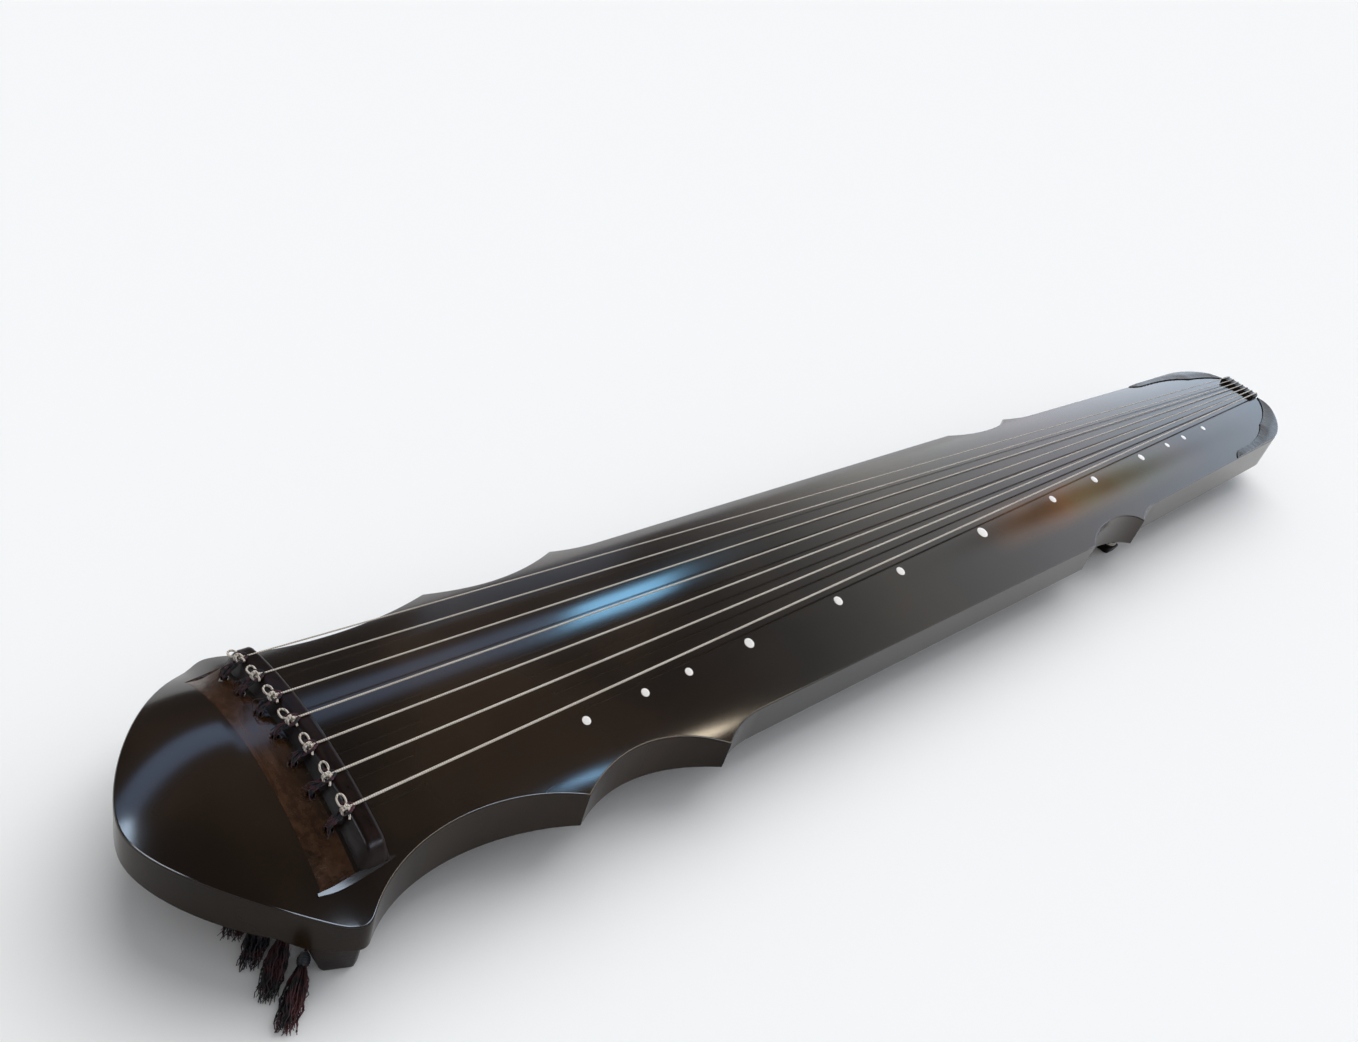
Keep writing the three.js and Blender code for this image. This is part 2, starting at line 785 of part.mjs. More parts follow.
function gooseFoot(y) {
  const neckTop = bottomZ - seatGap;
  const neckBottom = bottomZ - footNeckHeight;
  const tenon = uprightBar(footX, y, neckTop - overrun / 2, bottomZ + footTenonLength, footTenonDiameter, footSides);
  const neck = uprightBar(footX, y, neckBottom - seatGap, neckTop, footNeckDiameter, footSides);
  const half = footBaseWidth / 2;
  const outline = roundedRectangle(-half, half, -half, half, footBaseCorner);
  const geometry = new THREE.ExtrudeGeometry(new THREE.Shape(outline), {
    depth: neckBottom,
    bevelEnabled: false,
  });
  const places = geometry.attributes.position;
  for (let i = 0; i < places.count; i += 1) {
    const share = places.getZ(i) > 0 ? 1 : footSoleWidth / footBaseWidth;
    places.setXY(i, places.getX(i) * share, places.getY(i) * share);
  }
  geometry.translate(footX, y, 0);
  return tenon.add(neck).add(solidOf(geometry));
}

addPiece('goose_foot_near', geometryOf(gooseFoot(-footY)), rosewood);
addPiece('goose_foot_far', geometryOf(gooseFoot(footY)), rosewood);

// Tail: nut, support and corner plates

function tailNut() {
  const bed = crestZ(vibratingLength) - nutDepth;
  const top = crestZ(vibratingLength) + nutHeight;
  const shape = new THREE.Shape();
  shape.moveTo(vibratingLength, bed);
  shape.lineTo(tailEnd, bed);
  shape.lineTo(tailEnd, top - nutRound);
  shape.quadraticCurveTo(tailEnd, top, tailEnd - nutRound, top);
  shape.lineTo(vibratingLength + nutRound / 2, top);
  shape.quadraticCurveTo(vibratingLength, top, vibratingLength, top - nutRound / 2);
  return profileAcross(shape.getPoints(bendSteps), stringOffset - nutHalf, stringOffset + nutHalf);
}

function nutSupport() {
  const top = bottomZ + supportSeat;
  const low = bottomZ - supportDrop;
  const start = tailEnd - supportLength;
  const shape = new THREE.Shape();
  shape.moveTo(start, top);
  shape.lineTo(start, low + nutRound);
  shape.quadraticCurveTo(start, low, start + nutRound, low);
  shape.lineTo(tailEnd - nutRound, low);
  shape.quadraticCurveTo(tailEnd, low, tailEnd, low + nutRound);
  shape.lineTo(tailEnd, top);
  return profileAcross(shape.getPoints(bendSteps), stringOffset - supportHalf, stringOffset + supportHalf);
}

function tailCrown(side) {
  const cusp = new THREE.Vector2(tailEnd - crownCuspSetback, crownCuspHalf);
  const shoulder = new THREE.Vector2(tailEnd - crownShoulderSetback, crownShoulderHalf);
  const start = new THREE.Vector2(tailEnd - crownLength, tailHalf + overrun);
  const inner = nutHalf + side * stringOffset + 2 * seatGap;
  const shape = new THREE.Shape();
  shape.moveTo(start.x, start.y);
  shape.quadraticCurveTo(start.x + crownScallopShare * (shoulder.x - start.x), shoulder.y, shoulder.x, shoulder.y);
  shape.quadraticCurveTo(
    cusp.x - crownScallopShare * (cusp.x - shoulder.x), shoulder.y,
    cusp.x, cusp.y,
  );
  shape.quadraticCurveTo(
    tailEnd - crownScallopShare * crownCuspSetback, cusp.y - crownScallopShare * (cusp.y - inner),
    vibratingLength, inner,
  );
  shape.lineTo(tailEnd + overrun, inner);
  shape.lineTo(tailEnd + overrun, start.y);
  const flip = (point) => new THREE.Vector2(point.x, side * point.y);
  const outline = shape.getPoints(bendSteps).map(flip);
  const layer = belowSurface(crownHeight).subtract(belowSurface(seatGap));
  return slab(outline, seamZ, skyZ).intersect(slab(outlinePoints, seamZ, skyZ)).intersect(layer);
}

addPiece('tail_nut', geometryOf(tailNut()), rosewood);
addPiece('tail_nut_support', geometryOf(nutSupport()), rosewood);
addPiece('tail_crown_near', geometryOf(tailCrown(-1)), rosewood);
addPiece('tail_crown_far', geometryOf(tailCrown(1)), rosewood);

// Strings: knot on the bridge, run to the nut, down the tail, back under the body, turns on a foot

function footWinding(index) {
  const near = index < nearFootStrings;
  const mates = stringIndexes.filter((other) => (other < nearFootStrings) === near);
  let z = bottomZ - windingStart;
  mates.filter((other) => other < index).forEach((other) => {
    z -= (turnsPerString + 1) * (stringDiameter(other) + turnGap);
  });
  const diameter = stringDiameter(index);
  return {
    centre: new THREE.Vector2(footX, near ? -footY : footY),
    radius: footNeckDiameter / 2 + neckClearance + diameter / 2,
    top: z - diameter / 2,
    pitch: diameter + turnGap,
    hand: near ? 1 : -1,
  };
}

function windingPoints(index, arrival) {
  const { centre, radius, top, pitch, hand } = footWinding(index);
  const away = new THREE.Vector2(arrival.x - centre.x, arrival.y - centre.y);
  const start = away.angle() + hand * Math.acos(radius / away.length());
  const steps = turnsPerString * stepsPerTurn;
  const points = Array.from({ length: steps + 1 }, (_, i) => {
    const angle = start + (hand * 2 * Math.PI * i) / stepsPerTurn;
    return new THREE.Vector3(
      centre.x + radius * Math.cos(angle),
      centre.y + radius * Math.sin(angle),
      top - (pitch * i) / stepsPerTurn,
    );
  });
  const last = points[points.length - 1];
  const away3 = points[0].clone().sub(arrival).setZ(0).normalize();
  return [...points, last.clone().addScaledVector(away3, stringDiameter(index))];
}

function stringRoute(index) {
  const radius = stringDiameter(index) / 2;
  const yBridge = stringPlace(index, stringPitchAtBridge);
  const yNut = stringPlace(index, stringPitchAtNut);
  const nutTop = crestZ(vibratingLength) + nutHeight + seatGap + radius;
  const endX = tailEnd + seatGap + radius;
  const underZ = bottomZ - supportDrop - seatGap - radius;
  const start = new THREE.Vector3(-knotSetback, yBridge, bridgeTopZ(yBridge) + seatGap + radius);
  const nut = new THREE.Vector3(vibratingLength, yNut, nutTop);
  const upper = new THREE.Vector3(endX, yNut, nutTop);
  const lower = new THREE.Vector3(endX, yNut, underZ);
  const under = new THREE.Vector3(tailEnd - supportLength, yNut, underZ);
  return [
    start,
    nut,
    ...bend(nut, upper, lower, stringBendRadius + radius),
    ...bend(upper, lower, under, stringBendRadius + radius),
    under,
    ...windingPoints(index, under),
  ];
}

// Least clear space between one string's own turns, with the last stretch that comes to them
function leastTurnGap(index) {
  const route = stringRoute(index);
  const coil = route.slice(-(turnsPerString * stepsPerTurn + 2));
  const before = route[route.length - coil.length - 1];
  const approach = Array.from({ length: stepsPerTurn }, (_, i) => (
    coil[0].clone().lerp(before, (i * footNeckDiameter) / stepsPerTurn / coil[0].distanceTo(before))));
  const points = [...approach.reverse(), ...coil];
  let least = Infinity;
  points.forEach((point, i) => {
    points.slice(i + stepsPerTurn / 2).forEach((other) => {
      least = Math.min(least, point.distanceTo(other));
    });
  });
  return least - stringDiameter(index);
}

// The knot on the bridge: a lump, a long ring toward the player and a stub of the free end
function bridgeKnot(index) {
  const diameter = stringDiameter(index);
  const y = stringPlace(index, stringPitchAtBridge);
  const middle = knotHeight / 2;
  const lump = new THREE.SphereGeometry(1, 8, 5);
  lump.scale(knotWidth / 2, knotLength / 2, middle);
  lump.translate(0, 0, middle);
  const ring = new THREE.TorusGeometry((knotRingWidth - diameter) / 2, diameter / 2, 5, 10);
  ring.scale(1, knotRingLength / knotRingWidth, 1);
  ring.translate(0, (knotLength + knotRingLength) / 2 - diameter, middle);
  const stub = new THREE.CylinderGeometry(diameter / 2, diameter / 2, knotStubLength, stringSides);
  stub.translate(0, diameter - (knotLength + knotStubLength) / 2, middle);
  const knot = [lump, ring, stub].map(solidOf).reduce((whole, piece) => whole.add(piece));
  const tilt = THREE.MathUtils.radToDeg(Math.asin(-y / bridgeTopRadius));
  return knot.rotate([tilt, 0, 0]).translate([-knotSetback, y, bridgeTopZ(y) + seatGap - knotHang]);
}

stringIndexes.forEach((index) => {
  const run = solidOf(evenTube(stringRoute(index), stringDiameter(index), stringSides));
  addPiece(`string_${index + 1}`, geometryOf(run.add(bridgeKnot(index))), wire);
});

console.log('least gap between turns of a string, mm:',
  Math.min(...stringIndexes.map(leastTurnGap)).toFixed(2));

// Silk loops from under the knots, through the head plate and the board, down the bore of each peg

function silkLoop(index) {
  const y = stringPlace(index, stringPitchAtBridge);
  const radius = loopDiameter / 2;
  const slope = bridgeLean / (bridgeHeight - bridgeEdge);
  const faceX = -bridgeFront - (seatGap + radius) * Math.hypot(1, slope);
  const topX = faceX + bridgeLean * (1 - (knotHang + seatGap) / bridgeHeight);
  const top = bridgeTopZ(y) - knotHang - seatGap;
  const foot = surfaceZ(loopX, y) + headPlateProud + loopDiameter;
  const curve = new THREE.CurvePath();
  curve.add(new THREE.LineCurve3(
    new THREE.Vector3(topX, y, top),
    new THREE.Vector3(faceX, y, foot + loopDiameter),
  ));
  curve.add(new THREE.CubicBezierCurve3(
    new THREE.Vector3(faceX, y, foot + loopDiameter),
    new THREE.Vector3(faceX, y, foot + radius),
    new THREE.Vector3(loopX, y, foot + radius),
    new THREE.Vector3(loopX, y, foot - radius),
  ));
  curve.add(new THREE.LineCurve3(
    new THREE.Vector3(loopX, y, foot - radius),
    new THREE.Vector3(loopX, y, pegBottom),
  ));
  return cordAlong(curve, loopDiameter, loopSides, loopSteps);
}

stringIndexes.forEach((index) => {
  addPiece(`silk_loop_${index + 1}`, silkLoop(index), silk);
});

// Tassels: a short cord out of each peg that lies down on the floor, then a knot and a skirt

function tassel(index) {
  const cord = tasselCordDiameter / 2;
  const top = pegBottom - seatGap;
  const side = index % 2 ? tasselSway : -tasselSway;
  const runStart = tasselBendRadius + tasselCordDiameter;
  const curve = new THREE.CurvePath();
  curve.add(new THREE.LineCurve3(
    new THREE.Vector3(0, 0, top),
    new THREE.Vector3(0, 0, cord + tasselBendRadius),
  ));
  const pull = tasselBendRadius * (1 - roundPullShare);
  curve.add(new THREE.CubicBezierCurve3(
    new THREE.Vector3(0, 0, cord + tasselBendRadius),
    new THREE.Vector3(0, 0, cord + pull),
    new THREE.Vector3(pull, 0, cord),
    new THREE.Vector3(tasselBendRadius, 0, cord),
  ));
  curve.add(new THREE.CubicBezierCurve3(
    new THREE.Vector3(tasselBendRadius, 0, cord),
    new THREE.Vector3(runStart, 0, cord),
    new THREE.Vector3(runStart, side, cord),
    new THREE.Vector3(tasselCordRun / 2, side, cord),
  ));
  curve.add(new THREE.CubicBezierCurve3(
    new THREE.Vector3(tasselCordRun / 2, side, cord),
    new THREE.Vector3(tasselCordRun - runStart, side, cord),
    new THREE.Vector3(tasselCordRun - runStart, 0, cord),
    new THREE.Vector3(tasselCordRun, 0, cord),
  ));
  const string = solidOf(cordAlong(curve, tasselCordDiameter, tasselCordSides, tasselCordSteps));
  const knotEnd = tasselCordRun + tasselKnotLength;
  const skirtEnd = knotEnd + tasselSkirtLength;
  const profile = [
    [0, tasselCordRun - cord],
    [tasselCordDiameter, tasselCordRun - cord],
    [tasselKnotDiameter, tasselCordRun + tasselKnotLength / 3],
    [tasselKnotDiameter, knotEnd - tasselKnotLength / 3],
    [tasselNeckDiameter, knotEnd],
    [(tasselNeckDiameter + tasselSkirtDiameter) / 2, knotEnd + tasselSkirtLength / 6],
    [tasselSkirtDiameter, knotEnd + tasselSkirtLength / 2],
    [tasselSkirtDiameter, skirtEnd - tasselSkirtLength / 8],
    [tasselNeckDiameter, skirtEnd],
    [0, skirtEnd],
  ].map(([diameter, along]) => new THREE.Vector2(diameter / 2, along));
  const skirt = new THREE.LatheGeometry(profile, tasselSides);
  skirt.rotateZ(-Math.PI / 2);
  const places = skirt.attributes.position;
  for (let i = 0; i < places.count; i += 1) {
    const radius = profile[i % profile.length].x;
    places.setZ(i, places.getZ(i) + Math.max(radius, cord));
  }
  const whole = string.add(solidOf(skirt));
  return whole.rotate([0, 0, tasselHeading]).translate([loopX, stringPlace(index, stringPitchAtBridge), 0]);
}

stringIndexes.forEach((index) => {
  addPiece(`tassel_${index + 1}`, geometryOf(tassel(index)), silk);
});

export default instrument;
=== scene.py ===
"""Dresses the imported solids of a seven-string zither (guqin) with its finished pieces and finishes.

Sizes are in millimetres from the bridge line, as the part's own source draws them, and become metres
in the shared frame when a mesh is finished.
"""

import json
import logging
import math
import random
from collections.abc import Sequence
from dataclasses import dataclass, field
from enum import Enum

import bmesh
import bpy
from mathutils import Matrix, Vector


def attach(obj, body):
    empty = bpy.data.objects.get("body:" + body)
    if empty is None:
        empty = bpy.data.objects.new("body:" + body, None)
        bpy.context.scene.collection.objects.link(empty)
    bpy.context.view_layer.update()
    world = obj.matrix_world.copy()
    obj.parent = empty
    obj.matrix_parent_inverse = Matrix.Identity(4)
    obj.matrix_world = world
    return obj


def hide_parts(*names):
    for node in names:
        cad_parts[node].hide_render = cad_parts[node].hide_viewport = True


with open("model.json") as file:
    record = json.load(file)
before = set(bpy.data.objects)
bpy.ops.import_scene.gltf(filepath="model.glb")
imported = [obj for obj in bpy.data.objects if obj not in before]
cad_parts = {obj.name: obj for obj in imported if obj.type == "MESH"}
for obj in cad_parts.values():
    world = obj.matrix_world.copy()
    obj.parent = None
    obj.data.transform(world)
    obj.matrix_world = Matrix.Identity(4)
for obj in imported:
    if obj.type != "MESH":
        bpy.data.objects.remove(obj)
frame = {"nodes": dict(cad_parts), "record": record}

LOG = logging.getLogger("guqin")
MM = 0.001
FULL_TURN = 2 * math.pi


class Slot(Enum):
    """The record's material slots."""

    LACQUER = "lacquer"
    ROSEWOOD = "rosewood"
    CHESTNUT = "chestnut"
    SHELL = "shell"
    WIRE = "wire"
    SILK = "silk"
    FIR = "fir"


# Colours and nodes


def linear(code: str, alpha: float = 1.0) -> tuple[float, float, float, float]:
    """Turns an sRGB hex colour to linear.

    Args:
        code: six hex digits after a hash.
        alpha: the fourth value.

    Returns:
        Linear red, green, blue and alpha.
    """

    def channel(at: int) -> float:
        """One channel, from its first digit."""
        value = int(code[at : at + 2], 16) / 255
        return value / 12.92 if value <= 0.04045 else ((value + 0.055) / 1.055) ** 2.4

    return channel(1), channel(3), channel(5), alpha


def add_node(tree: bpy.types.NodeTree, kind: str, settings: dict | None = None, **inputs) -> bpy.types.Node:
    """Adds a node with its settings, values and links.

    Args:
        tree: the node tree.
        kind: the node's type, without its ShaderNode prefix.
        settings: attributes of the node.
        inputs: what fill takes.

    Returns:
        The new node.
    """
    node = tree.nodes.new("ShaderNode" + kind)
    for name, value in (settings or {}).items():
        setattr(node, name, value)
    fill(tree, node, **inputs)
    return node


def fill(tree: bpy.types.NodeTree, node: bpy.types.Node, **inputs) -> None:
    """Sets or links inputs of a node.

    Args:
        tree: the node tree.
        node: the node.
        inputs: by input name with spaces as underscores, or _0, _1 for an input's number: a value, or a
            socket to link from.
    """
    for name, value in inputs.items():
        key = int(name[1:]) if name.startswith("_") else name.replace("_", " ")
        if isinstance(value, bpy.types.NodeSocket):
            tree.links.new(value, node.inputs[key])
        else:
            node.inputs[key].default_value = value


def product(tree: bpy.types.NodeTree, first: bpy.types.NodeSocket,
            second: bpy.types.NodeSocket) -> bpy.types.NodeSocket:
    """Multiplies two values."""
    return add_node(tree, "Math", {"operation": "MULTIPLY"}, _0=first, _1=second).outputs[0]


def mixed(tree: bpy.types.NodeTree, share: float | bpy.types.NodeSocket, first: bpy.types.NodeSocket,
          second: bpy.types.NodeSocket, blend: str = "MIX") -> bpy.types.NodeSocket:
    """Mixes two colours.

    Args:
        tree: the node tree.
        share: how much of the second.
        first: the first colour.
        second: the second colour.
        blend: how they are mixed.

    Returns:
        The colour.
    """
    settings = {"data_type": "RGBA", "blend_type": blend}
    return add_node(tree, "Mix", settings, Factor=share, _6=first, _7=second).outputs[2]


def mixed_values(tree: bpy.types.NodeTree, share: float, first: bpy.types.NodeSocket,
                 second: bpy.types.NodeSocket) -> bpy.types.NodeSocket:
    """Mixes two values, with a share of the second."""
    return add_node(tree, "Mix", {"data_type": "FLOAT"}, Factor=share, _2=first, _3=second).outputs[0]


def ramp(tree: bpy.types.NodeTree, fac: bpy.types.NodeSocket,
         stops: Sequence[tuple[float, str]]) -> bpy.types.NodeSocket:
    """Adds a colour ramp.

    Args:
        tree: the node tree.
        fac: what drives the ramp.
        stops: position and sRGB hex colour of each stop, at least two.

    Returns:
        The ramp's colour.
    """
    node = add_node(tree, "ValToRGB", Fac=fac)
    elements = node.color_ramp.elements
    elements.remove(elements[1])
    elements[0].position = stops[0][0]
    elements[0].color = linear(stops[0][1])
    for position, code in stops[1:]:
        elements.new(position).color = linear(code)
    return node.outputs["Color"]


def new_material(name: str) -> tuple[bpy.types.Material, bpy.types.NodeTree, bpy.types.Node]:
    """Starts a material.

    Args:
        name: what the finish is.

    Returns:
        The material, its tree and its Principled shader.
    """
    material = bpy.data.materials.new(name)
    material.use_nodes = True
    tree = material.node_tree
    return material, tree, tree.nodes["Principled BSDF"]


def millimetres(tree: bpy.types.NodeTree,
                stretch: tuple[float, float, float] = (1, 1, 1)) -> bpy.types.NodeSocket:
    """Object coordinates in millimetres.

    Args:
        tree: the node tree.
        stretch: how much finer the pattern is along each axis.

    Returns:
        The vector.
    """
    place = add_node(tree, "TexCoord").outputs["Object"]
    scale = tuple(value / MM for value in stretch)
    return add_node(tree, "Mapping", Vector=place, Scale=scale).outputs["Vector"]


def bump(tree: bpy.types.NodeTree, shader: bpy.types.Node, height: bpy.types.NodeSocket,
         depth: float) -> None:
    """Links a relief to a shader.

    Args:
        tree: the node tree.
        shader: the Principled shader.
        height: the pattern from 0 to 1.
        depth: the relief's depth in millimetres.
    """
    node = add_node(tree, "Bump", Height=height, Distance=depth * MM, Strength=1.0)
    tree.links.new(node.outputs["Normal"], shader.inputs["Normal"])


@dataclass(frozen=True)
class Lacquer:
    """Raw lacquer, brushed on in thin coats and rubbed to a shine.

    The eye sees a near black surface with brown clouds that mirrors the room, and beside the strings an
    olive and chestnut patch in the colour. Lengths are in millimetres; two fields say where the patch
    rises and falls along and across the body.
    """

    name: str = "rubbed_raw_lacquer"
    dark: str = "#110d0a"
    brown: str = "#20170f"
    mid: str = "#2f2318"
    patch_tones: tuple[tuple[float, str], ...] = (
        (0.1, "#5f3d18"), (0.34, "#6e4716"), (0.5, "#5a4c1c"), (0.66, "#454423"), (0.84, "#55302a"))
    specular: float = 0.5
    cloud: float = 160.0
    blotches: float = 55.0
    brush: float = 1.6
    patch_along: tuple[float, float, float, float] = (555.0, 630.0, 890.0, 980.0)
    patch_across: tuple[float, float, float, float] = (-70.0, -50.0, -32.0, -18.0)
    patch_spots: tuple[float, float, float] = (0.34, 0.6, 0.6)
    patch_stray: float = 0.12
    roughness: tuple[float, float] = (0.12, 0.17)
    brush_share: float = 0.2
    relief: float = 0.02

    def window(self, tree: bpy.types.NodeTree, value: bpy.types.NodeSocket,
               stops: tuple[float, ...]) -> bpy.types.NodeSocket:
        """A value that rises from 0 to 1 and falls again between four places.

        Args:
            tree: the node tree.
            value: where along an axis.
            stops: start and end of the rise, then of the fall.

        Returns:
            The value.
        """
        soft = {"interpolation_type": "SMOOTHSTEP"}
        rise = add_node(tree, "MapRange", soft, Value=value, _1=stops[0], _2=stops[1])
        fall = add_node(tree, "MapRange", soft, Value=value, _1=stops[2], _2=stops[3], _3=1.0, _4=0.0)
        return product(tree, rise.outputs[0], fall.outputs[0])

    def material(self, centre_x: float) -> bpy.types.Material:
        """Builds the finish.

        Args:
            centre_x: how far the frame's origin lies from the bridge line, in millimetres.

        Returns:
            The material.
        """
        material, tree, shader = new_material(self.name)
        place = millimetres(tree)
        along = millimetres(tree, (0.06, 1, 1))
        clouds = add_node(tree, "TexNoise", Vector=place, Scale=1 / self.cloud, Detail=3.0, Distortion=0.4)
        stretched = millimetres(tree, (0.5, 1, 1))
        blotches = add_node(tree, "TexNoise", Vector=stretched, Scale=1 / self.blotches, Detail=3.0)
        brush = add_node(tree, "TexNoise", Vector=along, Scale=1 / self.brush, Detail=2.0)
        parts = add_node(tree, "SeparateXYZ", Vector=place)
        length = self.window(tree, parts.outputs["X"], tuple(stop - centre_x for stop in self.patch_along))
        side = self.window(tree, parts.outputs["Y"], self.patch_across)
        region = product(tree, length, side)
        start, end, least = self.patch_spots
        spots = add_node(tree, "MapRange", Value=blotches.outputs["Fac"], _1=start, _2=end, _3=least, _4=1.0)
        # an olive and chestnut patch beside the strings, mixed into the base colour
        glow = product(tree, region, spots.outputs[0])
        ground = ramp(tree, clouds.outputs["Fac"], [(0.32, self.dark), (0.5, self.brown), (0.68, self.mid)])
        share = add_node(tree, "MapRange", Value=parts.outputs["X"],
                         _1=self.patch_along[0] - centre_x, _2=self.patch_along[3] - centre_x)
        stray = add_node(tree, "MapRange", Value=blotches.outputs["Fac"], _1=0.3, _2=0.7,
                         _3=-self.patch_stray, _4=self.patch_stray)
        along_it = add_node(tree, "Math", _0=share.outputs[0], _1=stray.outputs[0])
        warm = ramp(tree, along_it.outputs[0], self.patch_tones)
        rough = add_node(tree, "MapRange", Value=blotches.outputs["Fac"], _1=0.3, _2=0.7,
                         _3=self.roughness[0], _4=self.roughness[1])
        relief = mixed_values(tree, self.brush_share, blotches.outputs["Fac"], brush.outputs["Fac"])
        bump(tree, shader, relief, self.relief)
        fill(tree, shader, Base_Color=mixed(tree, glow, ground, warm), Roughness=rough.outputs[0], IOR=1.5,
             Specular_IOR_Level=self.specular)
        return material


@dataclass(frozen=True)
class Hardwood:
    """Dense wood, planed, scraped, and oiled or waxed to a polish.

    The eye sees fine straight grain with darker pores under a soft gloss.
    """

    name: str
    dark: str
    light: str
    rough: float = 0.3
    grain: float = 1.4
    coat: float = 0.25
    specular: float = 0.5
    figure: float = 0.12
    fineness: float = 0.55
    relief: float = 0.06
    coat_roughness: float = 0.15

    def material(self) -> bpy.types.Material:
        """Builds the finish.

        Returns:
            The material.
        """
        material, tree, shader = new_material(self.name)
        along = millimetres(tree, (0.35, 0.05, 1))
        wide = add_node(tree, "TexNoise", Vector=along, Scale=self.figure / self.grain, Detail=3.0,
                        Distortion=0.8)
        fine = add_node(tree, "TexNoise", Vector=along, Scale=1 / self.grain, Detail=4.0, Roughness=0.6)
        both = mixed_values(tree, self.fineness, wide.outputs["Fac"], fine.outputs["Fac"])
        colour = ramp(tree, both, [(0.34, self.dark), (0.66, self.light)])
        rough = add_node(tree, "MapRange", Value=fine.outputs["Fac"], _1=0.3, _2=0.7,
                         _3=self.rough - 0.05, _4=self.rough + 0.1)
        bump(tree, shader, fine.outputs["Fac"], self.relief)
        fill(tree, shader, Base_Color=colour, Roughness=rough.outputs[0], Specular_IOR_Level=self.specular,
             Coat_Weight=self.coat, Coat_Roughness=self.coat_roughness)
        return material


@dataclass(frozen=True)
class Shell:
    """Mother of pearl, cut in discs and polished: glossy white with faint pink and green clouds."""

    name: str = "polished_mother_of_pearl"
    cloud: float = 2.4

    def material(self) -> bpy.types.Material:
        """Builds the finish.

        Returns:
            The material.
        """
        material, tree, shader = new_material(self.name)
        place = millimetres(tree)
        cloud = add_node(tree, "TexNoise", Vector=place, Scale=1 / self.cloud, Detail=2.0, Distortion=1.5)
        tones = [(0.3, "#e4ece9"), (0.45, "#fbf8f2"), (0.6, "#f4ebe9"), (0.75, "#ffffff")]
        colour = ramp(tree, cloud.outputs["Fac"], tones)
        fill(tree, shader, Base_Color=colour, Roughness=0.22, Coat_Weight=0.6, Coat_Roughness=0.08)
        bump(tree, shader, cloud.outputs["Fac"], 0.02)
        return material


@dataclass(frozen=True)
class WrappedWire:
    """Pale nylon wrapped round a steel core: a dull ivory line with fine rings and a little soil.

    The real wrap is 0.3 mm wide, and is drawn at 1.3 mm to show.
    """

    name: str = "nylon_wrapped_steel_string"
    wrap: float = 1.3
    light: str = "#d6cdc1"
    dark: str = "#8f8579"
    soil: float = 40.0

    def material(self) -> bpy.types.Material:
        """Builds the finish.

        Returns:
            The material.
        """
        material, tree, shader = new_material(self.name)
        place = millimetres(tree)
        bands = add_node(tree, "TexWave", {"wave_type": "BANDS", "bands_direction": "X"},
                         Vector=place, Scale=FULL_TURN / (20 * self.wrap), Distortion=0.6, Detail=1.0)
        soil = add_node(tree, "TexNoise", Vector=place, Scale=1 / self.soil, Detail=3.0)
        colour = ramp(tree, bands.outputs["Fac"], [(0.0, self.dark), (0.45, self.light)])
        soiled = ramp(tree, soil.outputs["Fac"], [(0.3, "#cfc4b8"), (0.7, "#ffffff")])
        fill(tree, shader, Base_Color=mixed(tree, 0.5, colour, soiled, "MULTIPLY"), Roughness=0.42)
        bump(tree, shader, bands.outputs["Fac"], 0.12)
        return material


@dataclass(frozen=True)
class Silk:
    """Silk, dyed and twisted: dark threads with a soft sheen, some deep red among the black ones.

    The fibre noise is as coarse as 0.4 mm, so that single threads show.
    """

    name: str
    dark: str
    red: str
    share: float = 0.5
    patch: float = 3.5
    fibre: float = 0.4

    def material(self) -> bpy.types.Material:
        """Builds the finish.

        Returns:
            The material.
        """
        material, tree, shader = new_material(self.name)
        place = millimetres(tree)
        hank = add_node(tree, "TexNoise", Vector=place, Scale=1 / self.patch, Detail=2.0)
        fibre = add_node(tree, "TexNoise", Vector=place, Scale=1 / self.fibre, Detail=2.0)
        edge = 0.5 + (0.5 - self.share) * 0.4
        colour = ramp(tree, hank.outputs["Fac"], [(edge - 0.06, self.dark), (edge + 0.06, self.red)])
        shade = ramp(tree, fibre.outputs["Fac"], [(0.3, "#808080"), (0.7, "#ffffff")])
        bump(tree, shader, fibre.outputs["Fac"], 0.08)
        fill(tree, shader, Base_Color=mixed(tree, 0.7, colour, shade, "MULTIPLY"), Roughness=0.62,
             Specular_IOR_Level=0.3, Sheen_Weight=0.12, Sheen_Roughness=0.4)
        return material


@dataclass(frozen=True)
class BareFir:
    """Planed fir, left bare: pale and dull, with brown year rings."""

    name: str = "planed_fir"

    def material(self) -> bpy.types.Material:
        """Builds the finish.

        Returns:
            The material.
        """
        material, tree, shader = new_material(self.name)
        rings = add_node(tree, "TexWave", {"wave_type": "BANDS", "bands_direction": "Y"},
                         Vector=millimetres(tree), Scale=0.09, Distortion=1.2, Detail=2.0)
        colour = ramp(tree, rings.outputs["Fac"], [(0.1, "#8f6a3d"), (0.8, "#c9a26a")])
        fill(tree, shader, Base_Color=colour, Roughness=0.7)
        bump(tree, shader, rings.outputs["Fac"], 0.05)
        return material


# Shape of the body


